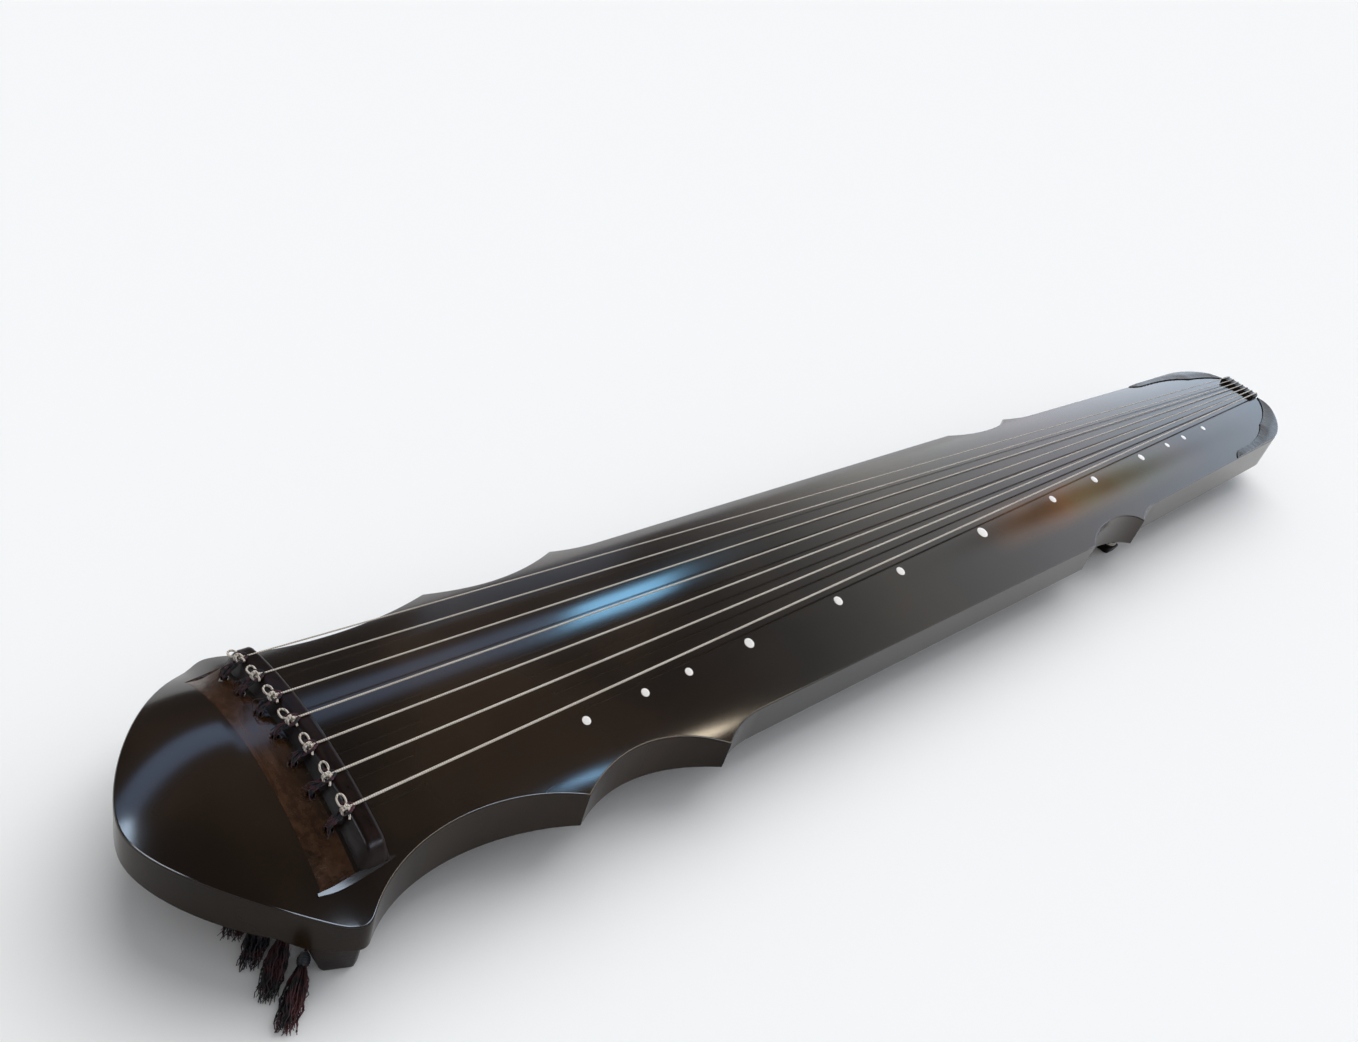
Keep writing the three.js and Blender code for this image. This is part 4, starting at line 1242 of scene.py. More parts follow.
@dataclass
class Studio:
    """Camera, floor, world and lamps.

    The camera's place is in millimetres from the bridge line; the room and the windows are in the frame's
    metres. The room is dim and grows light beyond the tail, with a dark cabinet in it.
    """

    place: tuple[float, float, float] = (-244.178, -379.65, 587.508)
    right: tuple[float, float, float] = (0.732732, -0.628545, 0.260836)
    up: tuple[float, float, float] = (0.230367, 0.58976, 0.774024)
    focal: float = 1200.0
    image_width: float = 1358.0
    sensor: float = 36.0
    clip: tuple[float, float] = (0.01, 50.0)
    floor_size: float = 60.0
    pale: str = "#fafafa"
    light_end: tuple[float, float, float] = (1.0, 0.0, 0.0)
    room: tuple[tuple[float, str], ...] = (
        (0.3, "#212427"), (0.63, "#333437"), (0.7, "#6c6a68"), (0.75, "#9c9b98"), (0.8, "#aeb0b1"),
        (0.84, "#b9bbc4"), (0.88, "#c4ceda"), (0.92, "#c9dcf1"))
    room_strength: float = 3.0
    cabinet: tuple[float, float, float] = (0.845, 0.06, 0.53)
    cabinet_tones: tuple[tuple[float, str], ...] = ((0.035, "#5a4030"), (0.1, "#ffffff"))
    broads: tuple[Broad, ...] = (
        Broad("key", (-0.5, -0.35, -0.79), 1.75, 60.0),
        Broad("fill", (0.0, 0.0, -1.0), 1.1, 170.0),
    )
    panes: tuple[Pane, ...] = (
        Pane("head_window", (-1.0, 1.2, 0.98), (1.68, 0.34), (0.0, -1.2, -1.0), 2.1, "#a9c8f4"),
        Pane("neck_window", (0.3, 1.2, 1.19), (0.88, 0.4), (0.0, -1.2, -1.0), 1.4, "#a9c8f4"),
        Pane("bright_window", (0.9, 1.2, 1.19), (0.3, 0.34), (0.0, -1.2, -1.0), 12.0, "#8fd2ff"),
        Pane("low_window", (1.3, 2.6, 0.6), (0.8, 0.9), (0.0, -1.0, -0.1), 0.4, "#a6c4e6"),
        Pane("tip_window", (-2.15, 1.2, 1.22), (0.4, 0.2), (1.5, -1.2, -1.2), 16.0, "#cfe6ff"),
        Pane("cream_window", (0.535, -0.62, 1.04), (0.055, 0.14), (-0.9, 0.54, -1.08), 28.0, "#ffeed2"),
        Pane("blue_window", (0.425, -0.62, 1.27), (0.045, 0.1), (-0.83, 0.54, -1.3), 28.0, "#9ad2ff"),
        Pane("front_window", (-0.4, -1.5, 1.02), (1.6, 0.5), (0.0, 1.5, -1.0), 13.0, "#d6e6fa"),
        Pane("side_window", (0.85, -1.5, 0.98), (0.8, 0.4), (-0.9, 1.5, -0.9), 8.0, "#fff0dc"),
        Pane("left_window", (-2.2, 0.2, 0.62), (1.0, 0.34), (1.6, -0.3, -0.55), 16.0, "#e6eef8"),
    )

    def camera(self) -> None:
        """Makes the camera at the photograph's viewing angle."""
        data = bpy.data.cameras.new("photo_camera")
        data.sensor_width = self.sensor
        data.lens = self.focal / self.image_width * self.sensor
        data.clip_start, data.clip_end = self.clip
        camera = bpy.data.objects.new("photo_camera", data)
        right, up = Vector(self.right), Vector(self.up)
        back = right.cross(up)
        turn = Matrix((right, up, back)).transposed().to_4x4()
        camera.matrix_world = Matrix.Translation(frame_point(*self.place)) @ turn
        bpy.context.scene.collection.objects.link(camera)
        bpy.context.scene.camera = camera

    def floor(self) -> None:
        """Makes the pale floor."""
        bm = bmesh.new()
        bmesh.ops.create_grid(bm, x_segments=1, y_segments=1, size=self.floor_size / 2)
        mesh = bpy.data.meshes.new("floor")
        bm.to_mesh(mesh)
        bm.free()
        floor = bpy.data.objects.new("floor", mesh)
        bpy.context.scene.collection.objects.link(floor)
        material, tree, shader = new_material("matt_pale_floor")
        fill(tree, shader, Base_Color=linear(self.pale), Roughness=1.0, Specular_IOR_Level=0.0)
        mesh.materials.append(material)

    def world(self) -> None:
        """A white surround for the camera, and round the object the dim room that its polish mirrors."""
        world = bpy.data.worlds.new("studio")
        world.use_nodes = True
        tree = world.node_tree
        tree.nodes.clear()
        place = add_node(tree, "TexCoord").outputs["Generated"]
        toward = add_node(tree, "VectorMath", {"operation": "DOT_PRODUCT"}, _0=place, _1=self.light_end)
        glow = ramp(tree, toward.outputs["Value"], self.room)
        cabinet = Vector(self.cabinet).normalized()
        away = add_node(tree, "VectorMath", {"operation": "DISTANCE"}, _0=place, _1=cabinet)
        shade = ramp(tree, away.outputs["Value"], self.cabinet_tones)
        dim = mixed(tree, 1.0, glow, shade, "MULTIPLY")
        ray = add_node(tree, "LightPath").outputs["Is Camera Ray"]
        lit = add_node(tree, "Background", Color=dim, Strength=self.room_strength)
        seen = add_node(tree, "Background", Color=linear(self.pale), Strength=1.0)
        both = add_node(tree, "MixShader", _0=ray, _1=lit.outputs[0], _2=seen.outputs[0])
        add_node(tree, "OutputWorld", Surface=both.outputs[0])
        bpy.context.scene.world = world

    def broad(self, light: Broad) -> None:
        """Adds a broad light whose rays run one way, and which no polished surface mirrors.

        Args:
            light: what it is.
        """
        data = bpy.data.lights.new(light.name, "SUN")
        data.energy = light.power
        data.angle = math.radians(light.spread)
        lamp = bpy.data.objects.new(light.name, data)
        lamp.visible_glossy = False
        lamp.matrix_world = Vector(light.toward).to_track_quat("-Z", "Y").to_matrix().to_4x4()
        bpy.context.scene.collection.objects.link(lamp)

    def window(self, pane: Pane) -> None:
        """Adds a rectangular light that only polished surfaces mirror, so the floor stays even.

        Args:
            pane: what it is.
        """
        data = bpy.data.lights.new(pane.name, "AREA")
        data.shape = "RECTANGLE"
        data.size, data.size_y = pane.size
        data.energy = math.pi * pane.size[0] * pane.size[1] * pane.radiance
        data.color = linear(pane.colour)[:3]
        lamp = bpy.data.objects.new(pane.name, data)
        lamp.visible_diffuse = False
        turn = Vector(pane.facing).to_track_quat("-Z", "Y").to_matrix().to_4x4()
        lamp.matrix_world = Matrix.Translation(pane.place) @ turn
        bpy.context.scene.collection.objects.link(lamp)

    def build(self) -> None:
        """Makes the whole stage."""
        self.camera()
        self.floor()
        self.world()
        for light in self.broads:
            self.broad(light)
        for pane in self.panes:
            self.window(pane)
        bpy.context.scene.view_settings.view_transform = "Standard"


@dataclass
class Body:
    """The lacquered body: its arched top and sides as one shell round the CAD bottom board.

    The rim's rings and drops draw its rounding: how far each ring lies in from the last, and how far the
    outline and the first rings are lowered. The hollow is listed as places along the body with half widths.
    """

    finishes: Finishes
    skin: float = 0.4
    wall: float = 1.6
    rim_rings: tuple[float, ...] = (0.15, 0.3, 0.55)
    rim_drops: tuple[float, ...] = (1.0, 0.47, 0.165)
    lap: float = 0.2
    board: float = 10.0
    top_wall: float = 10.0
    steps: int = 26
    plain_ring: float = 1.2
    head_cuts: tuple[int, ...] = tuple(range(-42, 0, 3))
    overrun: float = 4.0
    hollow: tuple[tuple[float, float], ...] = (
        (75.0, 61.3), (231.4, 61.3), (267.4, 75.8), (659.4, 75.8), (695.4, 59.4), (786.6, 59.4),
        (1087.0, 53.5))
    pool_ends: tuple[float, float] = (-40.5, -4.5)
    pool_half: float = 68.5
    pool_heights: tuple[float, float] = (20.0, 47.3)
    loop_hole: float = 4.4

    def outline(self) -> list[Vector]:
        """The closed outline, a little outside the boards' own.

        Returns:
            Its flat points, counter-clockwise.
        """
        side = SHAPE.side(self.steps)
        mirrored = [Vector((p.x, -p.y)) for p in side[1:]]
        return offset_outline(mirrored + side[::-1], self.skin)

    def shell(self) -> bpy.types.Object:
        """Builds the shell with its seat for the bottom board.

        Returns:
            The uncut shell.
        """
        rings = (*self.rim_rings, self.plain_ring)
        bm, rim = Arched(self.outline(), 0.0, rings, extra=self.head_cuts).upper()
        self.soften(rim)
        made = bmesh.ops.extrude_edge_only(bm, edges=rim)["geom"]
        for vert in verts_in(made):
            vert.co.z = SHAPE.underside(vert.co.x) - self.lap
        foot = bmesh.ops.edgeloop_fill(bm, edges=open_edges(made))["faces"]
        geom = [*foot, *foot[0].edges, *foot[0].verts]
        sliced(bm, geom, 0, [-SHAPE.rise_end, -SHAPE.rise_start])
        for vert in verts_in(geom):
            vert.co.z = SHAPE.underside(vert.co.x) - self.lap
        bmesh.ops.recalc_face_normals(bm, faces=bm.faces)
        foot = [f for f in bm.faces if f.normal.z < -0.8 and f.calc_center_median().z < SHAPE.seam]
        bmesh.ops.inset_region(bm, faces=foot, thickness=self.wall, use_even_offset=True)
        raised(bm, foot, Vector((0, 0, self.board + self.lap)))
        return finished("lacquered_body", bm, self.finishes.lacquer, 32.0)

    def soften(self, rim: list[bmesh.types.BMEdge]) -> None:
        """Rounds the rim, by lowering the outline and the rings beside it.

        Args:
            rim: the upper face's outer edges.
        """
        ring = {vert for edge in rim for vert in edge.verts}
        done = set(ring)
        for drop in self.rim_drops:
            for vert in ring:
                vert.co.z -= drop
            ring = {other for vert in ring for face in vert.link_faces for other in face.verts} - done
            done |= ring

    def chamber(self) -> bpy.types.Object:
        """The hollow over the bottom board, as a cutter.

        Returns:
            The cutter.
        """
        near = [Vector((x, -half)) for x, half in self.hollow]
        far = [Vector((x, half)) for x, half in reversed(self.hollow)]
        solid = Arched(near + far, -self.top_wall).solid(SHAPE.seam - self.overrun)
        return finished("chamber_cutter", solid, None)

    def build(self) -> None:
        """Makes the shell, hollows it and drills it for the silk loops."""
        shell = self.shell()
        (start, end), (low, high) = self.pool_ends, self.pool_heights
        pool = block("pool_cutter", (start, SHAPE.offset - self.pool_half, low),
                     (end, SHAPE.offset + self.pool_half, high), None)
        carved(shell, [self.chamber(), pool, *loop_drills(self.loop_hole)])
        self.finish_faces(shell)
        settle(shell, "root", Slot.LACQUER, "top_board")

    def finish_faces(self, shell: bpy.types.Object) -> None:
        """Gives the arch and the sides their true normals, and the sides by the head the lacquer that mirrors
        less, as painted shade.

        Args:
            shell: the carved shell.
        """
        mesh = shell.data
        mesh.materials.append(self.finishes.side_shade)
        # painted shade: upright faces by the head take the second, less mirroring lacquer
        for face in mesh.polygons:
            upright = abs(face.normal.z) < 0.3 and face.center.z > SHAPE.stand * MM
            if upright and face.center.x / MM + SHAPE.centre_x < SHAPE.cusps[1][0] * SHAPE.length:
                face.material_index = 1
        level = {at for face in mesh.polygons if abs(face.normal.z) < 0.02 for at in face.vertices}
        normals = [corner.vector.copy() for corner in mesh.corner_normals]
        for face in mesh.polygons:
            for at, vertex in zip(face.loop_indices, face.vertices):
                place = mesh.vertices[vertex].co / MM
                x = place.x + SHAPE.centre_x
                flat = normals[at] * Vector((1, 1, 0))
                if face.normal.z > 0.5 and abs(place.z - SHAPE.top(x, place.y)) < 0.02:
                    normals[at] = SHAPE.normal(x, place.y)
                elif vertex in level and flat.length > 0.5:
                    normals[at] = flat.normalized()
        mesh.normals_split_custom_set(normals)


@dataclass
class HeadFittings:
    """The head plate, the bridge and the lip that closes their near end."""

    finishes: Finishes
    proud: float = 0.08
    sunk: float = 3.0
    bore: float = 4.2
    crown_end: float = 7.0
    lip_width: float = 3.2
    lip_height: float = 1.0
    lip_slope: float = 0.25
    lip_gap: float = 0.3
    lip_waist: float = 0.35
    lip_reach: tuple[float, float] = (1.0, 3.0)
    foot_depth: float = 1.5
    edge: float = 1.8

    def plate(self) -> None:
        """The plate under the silk loops, with its seven holes."""
        half = SHAPE.bridge_half - SHAPE.plate_inset
        front, back = SHAPE.plate_front, -SHAPE.bridge_front - SHAPE.seat
        outline = [Vector((back, -half)), Vector((back, half)), Vector((front, half)), Vector((front, -half))]
        bm = Arched(outline, self.proud, (1.0,), (2.5, 3.0)).plate(self.sunk)
        plate = finished("head_plate_strip", bm, self.finishes.chestnut, 30.0)
        carved(plate, loop_drills(self.bore))
        settle(plate, "root", Slot.CHESTNUT, "head_plate")

    def bridge(self) -> None:
        """The bridge, narrower at the top than at the foot, with rounded ends and edges."""
        bm = bmesh.new()
        bmesh.ops.create_grid(bm, x_segments=4, y_segments=72, size=0.5)
        half, lean, back = SHAPE.bridge_half, SHAPE.bridge_lean, SHAPE.bridge_back
        wide = SHAPE.bridge_front - lean - back
        for vert in bm.verts:
            x = -SHAPE.bridge_front + lean + (vert.co.x + 0.5) * wide
            y = 2 * half * vert.co.y
            past = max(abs(y) - half + self.crown_end, 0) / self.crown_end
            foot = SHAPE.top(x, y)
            vert.co = (x, y, foot + (SHAPE.bridge_top(y) - foot) * math.sqrt(max(1 - past**2, 0.02)))
        rim = open_edges(bm.edges)
        upper = set(bm.verts)
        raised(bm, bm.faces[:], Vector((0, 0, -4)))
        for vert in bm.verts:
            if vert not in upper:
                share = (vert.co.x + SHAPE.bridge_front - lean) / wide
                vert.co.x = -SHAPE.bridge_front + share * SHAPE.bridge_front
                vert.co.z = SHAPE.top(vert.co.x, vert.co.y) - self.foot_depth
        bmesh.ops.recalc_face_normals(bm, faces=bm.faces)
        round_edges(bm, [edge for edge in rim if edge.is_valid], self.edge, 5)
        bridge = finished("bridge_bar", bm, self.finishes.rosewood, 40.0)
        settle(bridge, "root", Slot.ROSEWOOD, "bridge")

    def lip(self) -> None:
        """The narrow tilted lip that closes the near end of the plate and the bridge."""
        bm = bmesh.new()
        bmesh.ops.create_grid(bm, x_segments=24, y_segments=2, size=0.5)
        inner = -SHAPE.bridge_half + SHAPE.plate_inset - self.lip_gap
        ahead, long = self.lip_reach
        for vert in bm.verts:
            share = vert.co.x + 0.5
            x = SHAPE.plate_front - ahead + (long - SHAPE.plate_front) * share
            wide = self.lip_width * (self.lip_waist + (1 - self.lip_waist) * math.sin(math.pi * share))
            out = (0.5 - vert.co.y) * wide
            vert.co = (x, inner - out, SHAPE.top(x, inner - out) + self.lip_height - self.lip_slope * out)
        raised(bm, bm.faces[:], Vector((0, 0, -self.foot_depth)))
        bmesh.ops.recalc_face_normals(bm, faces=bm.faces)
        lip = finished("end_lip", bm, self.finishes.lacquer, 30.0)
        settle(lip, "root", Slot.LACQUER)

    def build(self) -> None:
        """Makes all three."""
        self.plate()
        self.bridge()
        self.lip()


@dataclass
class Markers:
    """The thirteen inlaid discs."""

    finishes: Finishes
    shares: tuple[float, ...] = (
        1 / 8, 1 / 6, 1 / 5, 1 / 4, 1 / 3, 2 / 5, 1 / 2, 3 / 5, 2 / 3, 3 / 4, 4 / 5, 5 / 6, 7 / 8)
    small: float = 5.8
    middle: float = 7.5
    large: float = 10.0
    clearance: tuple[float, float] = (5.9, 9.2)
    depth: float = 1.2
    proud: float = 0.2
    edge: float = 0.25
    dome: float = 0.06

    def lid(self, bm: bmesh.types.BMesh) -> bmesh.types.BMFace:
        """The highest face of a disc."""
        return max(bm.faces, key=lambda f: f.calc_center_median().z)

    def build(self) -> None:
        """Makes every disc, slightly domed, standing square to the arch."""
        for index, share in enumerate(self.shares):
            from_middle = abs(index - 6)
            outer = self.small if from_middle > 3 else self.middle
            width = self.large if from_middle == 0 else outer
            x = share * SHAPE.length
            y = SHAPE.string_y(0, share) - self.clearance[0] - (self.clearance[1] - self.clearance[0]) * share
            bm = bmesh.new()
            bmesh.ops.create_cone(bm, cap_ends=True, segments=40, radius1=width / 2, radius2=width / 2,
                                  depth=self.depth)
            bmesh.ops.translate(bm, vec=(0, 0, self.proud - self.depth / 2), verts=bm.verts)
            round_edges(bm, list(self.lid(bm).edges), self.edge, 3)
            bmesh.ops.inset_region(bm, faces=[self.lid(bm)], thickness=width * 0.2, depth=self.dome,
                                   use_even_offset=True)
            turn = Matrix.Rotation(math.asin(-y / SHAPE.arch), 4, "X")
            place = Matrix.Translation((x, y, SHAPE.top(x, y))) @ turn
            bmesh.ops.transform(bm, matrix=place, verts=bm.verts)
            disc = finished(f"shell_marker_{index + 1}", bm, self.finishes.shell, 30.0)
            settle(disc, "root", Slot.SHELL, f"marker_{index + 1}")


@dataclass
class Pegs:
    """The seven tuning pegs: a round head, a slim neck and a fluted belly with a bore.

    The belly is listed as radii at shares of its height.
    """

    finishes: Finishes
    top: float = 43.7
    head: float = 5.0
    flutes: int = 12
    flute_depth: float = 0.5
    bore: float = 1.9
    belly: tuple[tuple[float, float], ...] = (
        (5.3, 0.18), (5.95, 0.36), (6.25, 0.5), (6.05, 0.64), (5.3, 0.76), (4.5, 0.85), (4.2, 0.92))
    neck: float = 4.2
    head_radii: tuple[float, float] = (6.3, 6.75)
    chamfer: float = 0.5

    def profile(self) -> list[tuple[float, float]]:
        """Radius and height of each point round the section, from the bore's top.

        Returns:
            The points.
        """
        low = SHAPE.peg_bottom
        under = self.top - self.head
        long = under - low
        flat, full = self.head_radii
        return [
            (self.bore, self.top), (self.bore, low + 0.4), (2.3, low), (4.1, low), (4.7, low + self.chamfer),
            *((radius, low + share * long) for radius, share in self.belly),
            (self.neck, under), (flat, under), (full, under + self.chamfer),
            (full, self.top - self.chamfer), (flat, self.top),
        ]

    def build(self) -> None:
        """Makes every peg."""
        long = self.top - self.head - SHAPE.peg_bottom
        for index in range(SHAPE.strings):
            bm = bmesh.new()
            lathe(bm, self.profile(), self.flutes * 4, True)
            for vert in bm.verts:
                out = math.hypot(vert.co.x, vert.co.y)
                up = (vert.co.z - SHAPE.peg_bottom) / long
                if out > 3 and -0.01 < up < 0.9:
                    angle = math.atan2(vert.co.y, vert.co.x)
                    depth = self.flute_depth * math.sin(math.pi * min(up / 0.85 + 0.12, 1.0))
                    share = 1 - depth * (0.5 - 0.5 * math.cos(self.flutes * angle)) / out
                    vert.co.x *= share
                    vert.co.y *= share
            bmesh.ops.translate(bm, vec=(SHAPE.loop_x, SHAPE.string_y(index), 0), verts=bm.verts)
            peg = finished(f"fluted_peg_{index + 1}", bm, self.finishes.rosewood, 40.0)
            settle(peg, f"peg_{index + 1}", Slot.ROSEWOOD, f"tuning_peg_{index + 1}")


@dataclass
class Stands:
    """What the instrument rests on: the two guards at the pegs and the two goose feet.

    A guard's levels give its height, how far ahead of the bridge line it starts and ends, how far in from
    the edge it stands and how thick it is. The neck of a foot is listed as radii and heights.
    """

    finishes: Finishes
    levels: tuple[tuple[float, ...], ...] = ((29.8, 46, 17, 4, 8), (3.0, 37, 18, 7, 7), (0.0, 35, 20, 8, 6))
    soften: float = 1.6
    neck: tuple[tuple[float, float], ...] = (
        (0.0, 38.0), (6.5, 38.0), (6.5, 29.7), (7.5, 29.4), (7.5, 8.2), (8.3, 7.4), (8.3, 7.0), (0.0, 7.0))
    base_halves: tuple[float, float] = (8.5, 10.0)
    base_height: float = 7.2
    base_corner: float = 3.6
    base_edge: float = 0.8

    def edge_half(self, x: float) -> float:
        """Half the body's width at a place along it.

        Args:
            x: place along the body.

        Returns:
            Half its width.
        """
        side = SHAPE.side(26)
        at = next(i for i, point in enumerate(side) if point.x > x)
        share = (x - side[at - 1].x) / (side[at].x - side[at - 1].x)
        return side[at - 1].lerp(side[at], share).y

    def guard(self, side: int) -> None:
        """A guard beside the pegs, shaped to the edge above it.

        Args:
            side: -1 for the near one, 1 for the far one.
        """
        bm = bmesh.new()
        for z, start, end, inset, thick in self.levels:
            for x in (-start, SHAPE.corner[0], -end):
                for depth in (inset, inset + thick):
                    bm.verts.new((x, side * (self.edge_half(x) - depth), z))
        hull = bmesh.ops.convex_hull(bm, input=bm.verts[:])
        bmesh.ops.delete(bm, geom=verts_in(hull["geom_interior"]), context="VERTS")
        bmesh.ops.dissolve_limit(bm, angle_limit=math.radians(3), verts=bm.verts, edges=bm.edges)
        bm.normal_update()
        edges = [e for e in sharp_edges(bm, 12) if min(v.co.z for v in e.verts) < 29]
        round_edges(bm, edges, self.soften, 4)
        for vert in bm.verts:
            vert.co.z = max(vert.co.z, 0.0)
        name = side_name(side)
        guard = finished(f"peg_guard_block_{name}", bm, self.finishes.rosewood, 40.0)
        settle(guard, "root", Slot.ROSEWOOD, f"peg_guard_{name}")

    def foot(self, side: int) -> None:
        """A goose foot: a waisted round neck on a square base with rounded corners.

        Args:
            side: -1 for the near one, 1 for the far one.
        """
        bm = bmesh.new()
        lathe(bm, self.neck, 40, False)
        base = bmesh.ops.create_cube(bm, size=1)["verts"]
        low_half, high_half = self.base_halves
        for vert in base:
            high = vert.co.z > 0
            half = high_half if high else low_half
            vert.co.x = math.copysign(half, vert.co.x)
            vert.co.y = math.copysign(half, vert.co.y)
            vert.co.z = self.base_height if high else 0
        edges = {e for v in base for e in v.link_edges}
        upright = [e for e in edges if abs(e.verts[0].co.z - e.verts[1].co.z) > 1]
        round_edges(bm, upright, self.base_corner, 6)
        bm.normal_update()
        rims = [e for e in sharp_edges(bm, 50) if max(abs(v.co.x) for v in e.verts) > 4.5
                and math.hypot(*e.verts[0].co.xy) > 8.4]
        round_edges(bm, rims, self.base_edge, 3)
        bmesh.ops.translate(bm, vec=(SHAPE.foot_x, side * SHAPE.foot_y, 0), verts=bm.verts)
        name = side_name(side)
        foot = finished(f"turned_foot_{name}", bm, self.finishes.rosewood, 40.0)
        settle(foot, "root", Slot.ROSEWOOD, f"goose_foot_{name}")

    def build(self) -> None:
        """Makes all four."""
        for side in (-1, 1):
            self.guard(side)
            self.foot(side)


@dataclass
class TailFittings:
    """The nut, the support under the tail and the two raised corner plates.

    The cusp and the shoulder of a plate's inner edge are measured from the tail's end and the middle line.
    """

    finishes: Finishes
    crown_length: float = 150.0
    crown_height: float = 3.0
    cusp: tuple[float, float] = (51.0, 47.0)
    shoulder: tuple[float, float] = (125.0, 63.0)
    scallop: float = 0.3
    crown_ease: float = 11.0
    crown_low: float = 0.7
    edge: float = 1.4
    arc_steps: int = 14
    nut_depth: float = 8.0
    support_length: float = 18.0
    support_half: float = 23.0
    support_heights: tuple[float, float] = (25.0, 33.0)
    support_edge: float = 2.2

    def crown(self, side: int) -> None:
        """A corner plate: its outer edge follows the body, its inner edge is drawn in two scallops.

        Args:
            side: -1 for the near one, 1 for the far one.
        """
        end = SHAPE.tail_end
        inner = SHAPE.nut_half + side * SHAPE.offset + 2 * SHAPE.seat
        outer = [p for p in SHAPE.side(26) if p.x > end - self.crown_length]
        start = outer[0]
        cusp = Vector((end - self.cusp[0], self.cusp[1]))
        shoulder = Vector((end - self.shoulder[0], self.shoulder[1]))
        last = Vector((end, inner))
        final = Vector((end - self.scallop * self.cusp[0], cusp.y - self.scallop * (cusp.y - inner)))
        arcs = [
            (start, Vector((start.x + self.scallop * (shoulder.x - start.x), shoulder.y)), shoulder),
            (shoulder, Vector((cusp.x - self.scallop * (cusp.x - shoulder.x), shoulder.y)), cusp),
            (cusp, final, last),
        ]
        inner_edge = []
        for a, pull, d in arcs:
            curve = (a, a.lerp(pull, 2 / 3), d.lerp(pull, 2 / 3), d)
            inner_edge += [bezier(curve, i / self.arc_steps) for i in range(self.arc_steps)]
        inner_edge.append(last)
        points = [p for p in inner_edge[1:] if p.y > 0] + outer[::-1]
        outline = [Vector((p.x, side * p.y)) for p in points]
        if side < 0:
            outline.reverse()
        bm = Arched(outline, self.crown_height, (), (4.0, 4.0)).plate(self.crown_height + 1.5)
        round_edges(bm, upper_rim(bm, self.crown_height), self.edge, 5)
        inner_line = [Vector((p.x, side * p.y)) for p in inner_edge]
        for vert in bm.verts:
            high = vert.co.z - SHAPE.top(vert.co.x, vert.co.y)
            share = min(min((p - vert.co.xy).length for p in inner_line) / self.crown_ease, 1.0)
            if high > 0.1:
                vert.co.z -= high * self.crown_low * (1 - share * share * (3 - 2 * share))
        name = side_name(side)
        crown = finished(f"tail_plate_{name}", bm, self.finishes.plate_wood, 35.0)
        settle(crown, "root", Slot.ROSEWOOD, f"tail_crown_{name}")

    def build(self) -> None:
        """Makes the nut, the support and the plates."""
        bed = SHAPE.crest(SHAPE.length)
        low, high = SHAPE.offset - SHAPE.nut_half, SHAPE.offset + SHAPE.nut_half
        nut = block("tail_nut_bar", (SHAPE.length, low, bed - self.nut_depth),
                    (SHAPE.tail_end, high, bed + SHAPE.nut_height), self.finishes.rosewood, self.edge)
        settle(nut, "root", Slot.ROSEWOOD, "tail_nut")
        foot, head = self.support_heights
        support = block("tail_support_bar",
                        (SHAPE.tail_end - self.support_length, SHAPE.offset - self.support_half, foot),
                        (SHAPE.tail_end, SHAPE.offset + self.support_half, head),
                        self.finishes.rosewood, self.support_edge)
        settle(support, "root", Slot.ROSEWOOD, "tail_nut_support")
        self.crown(-1)
        self.crown(1)


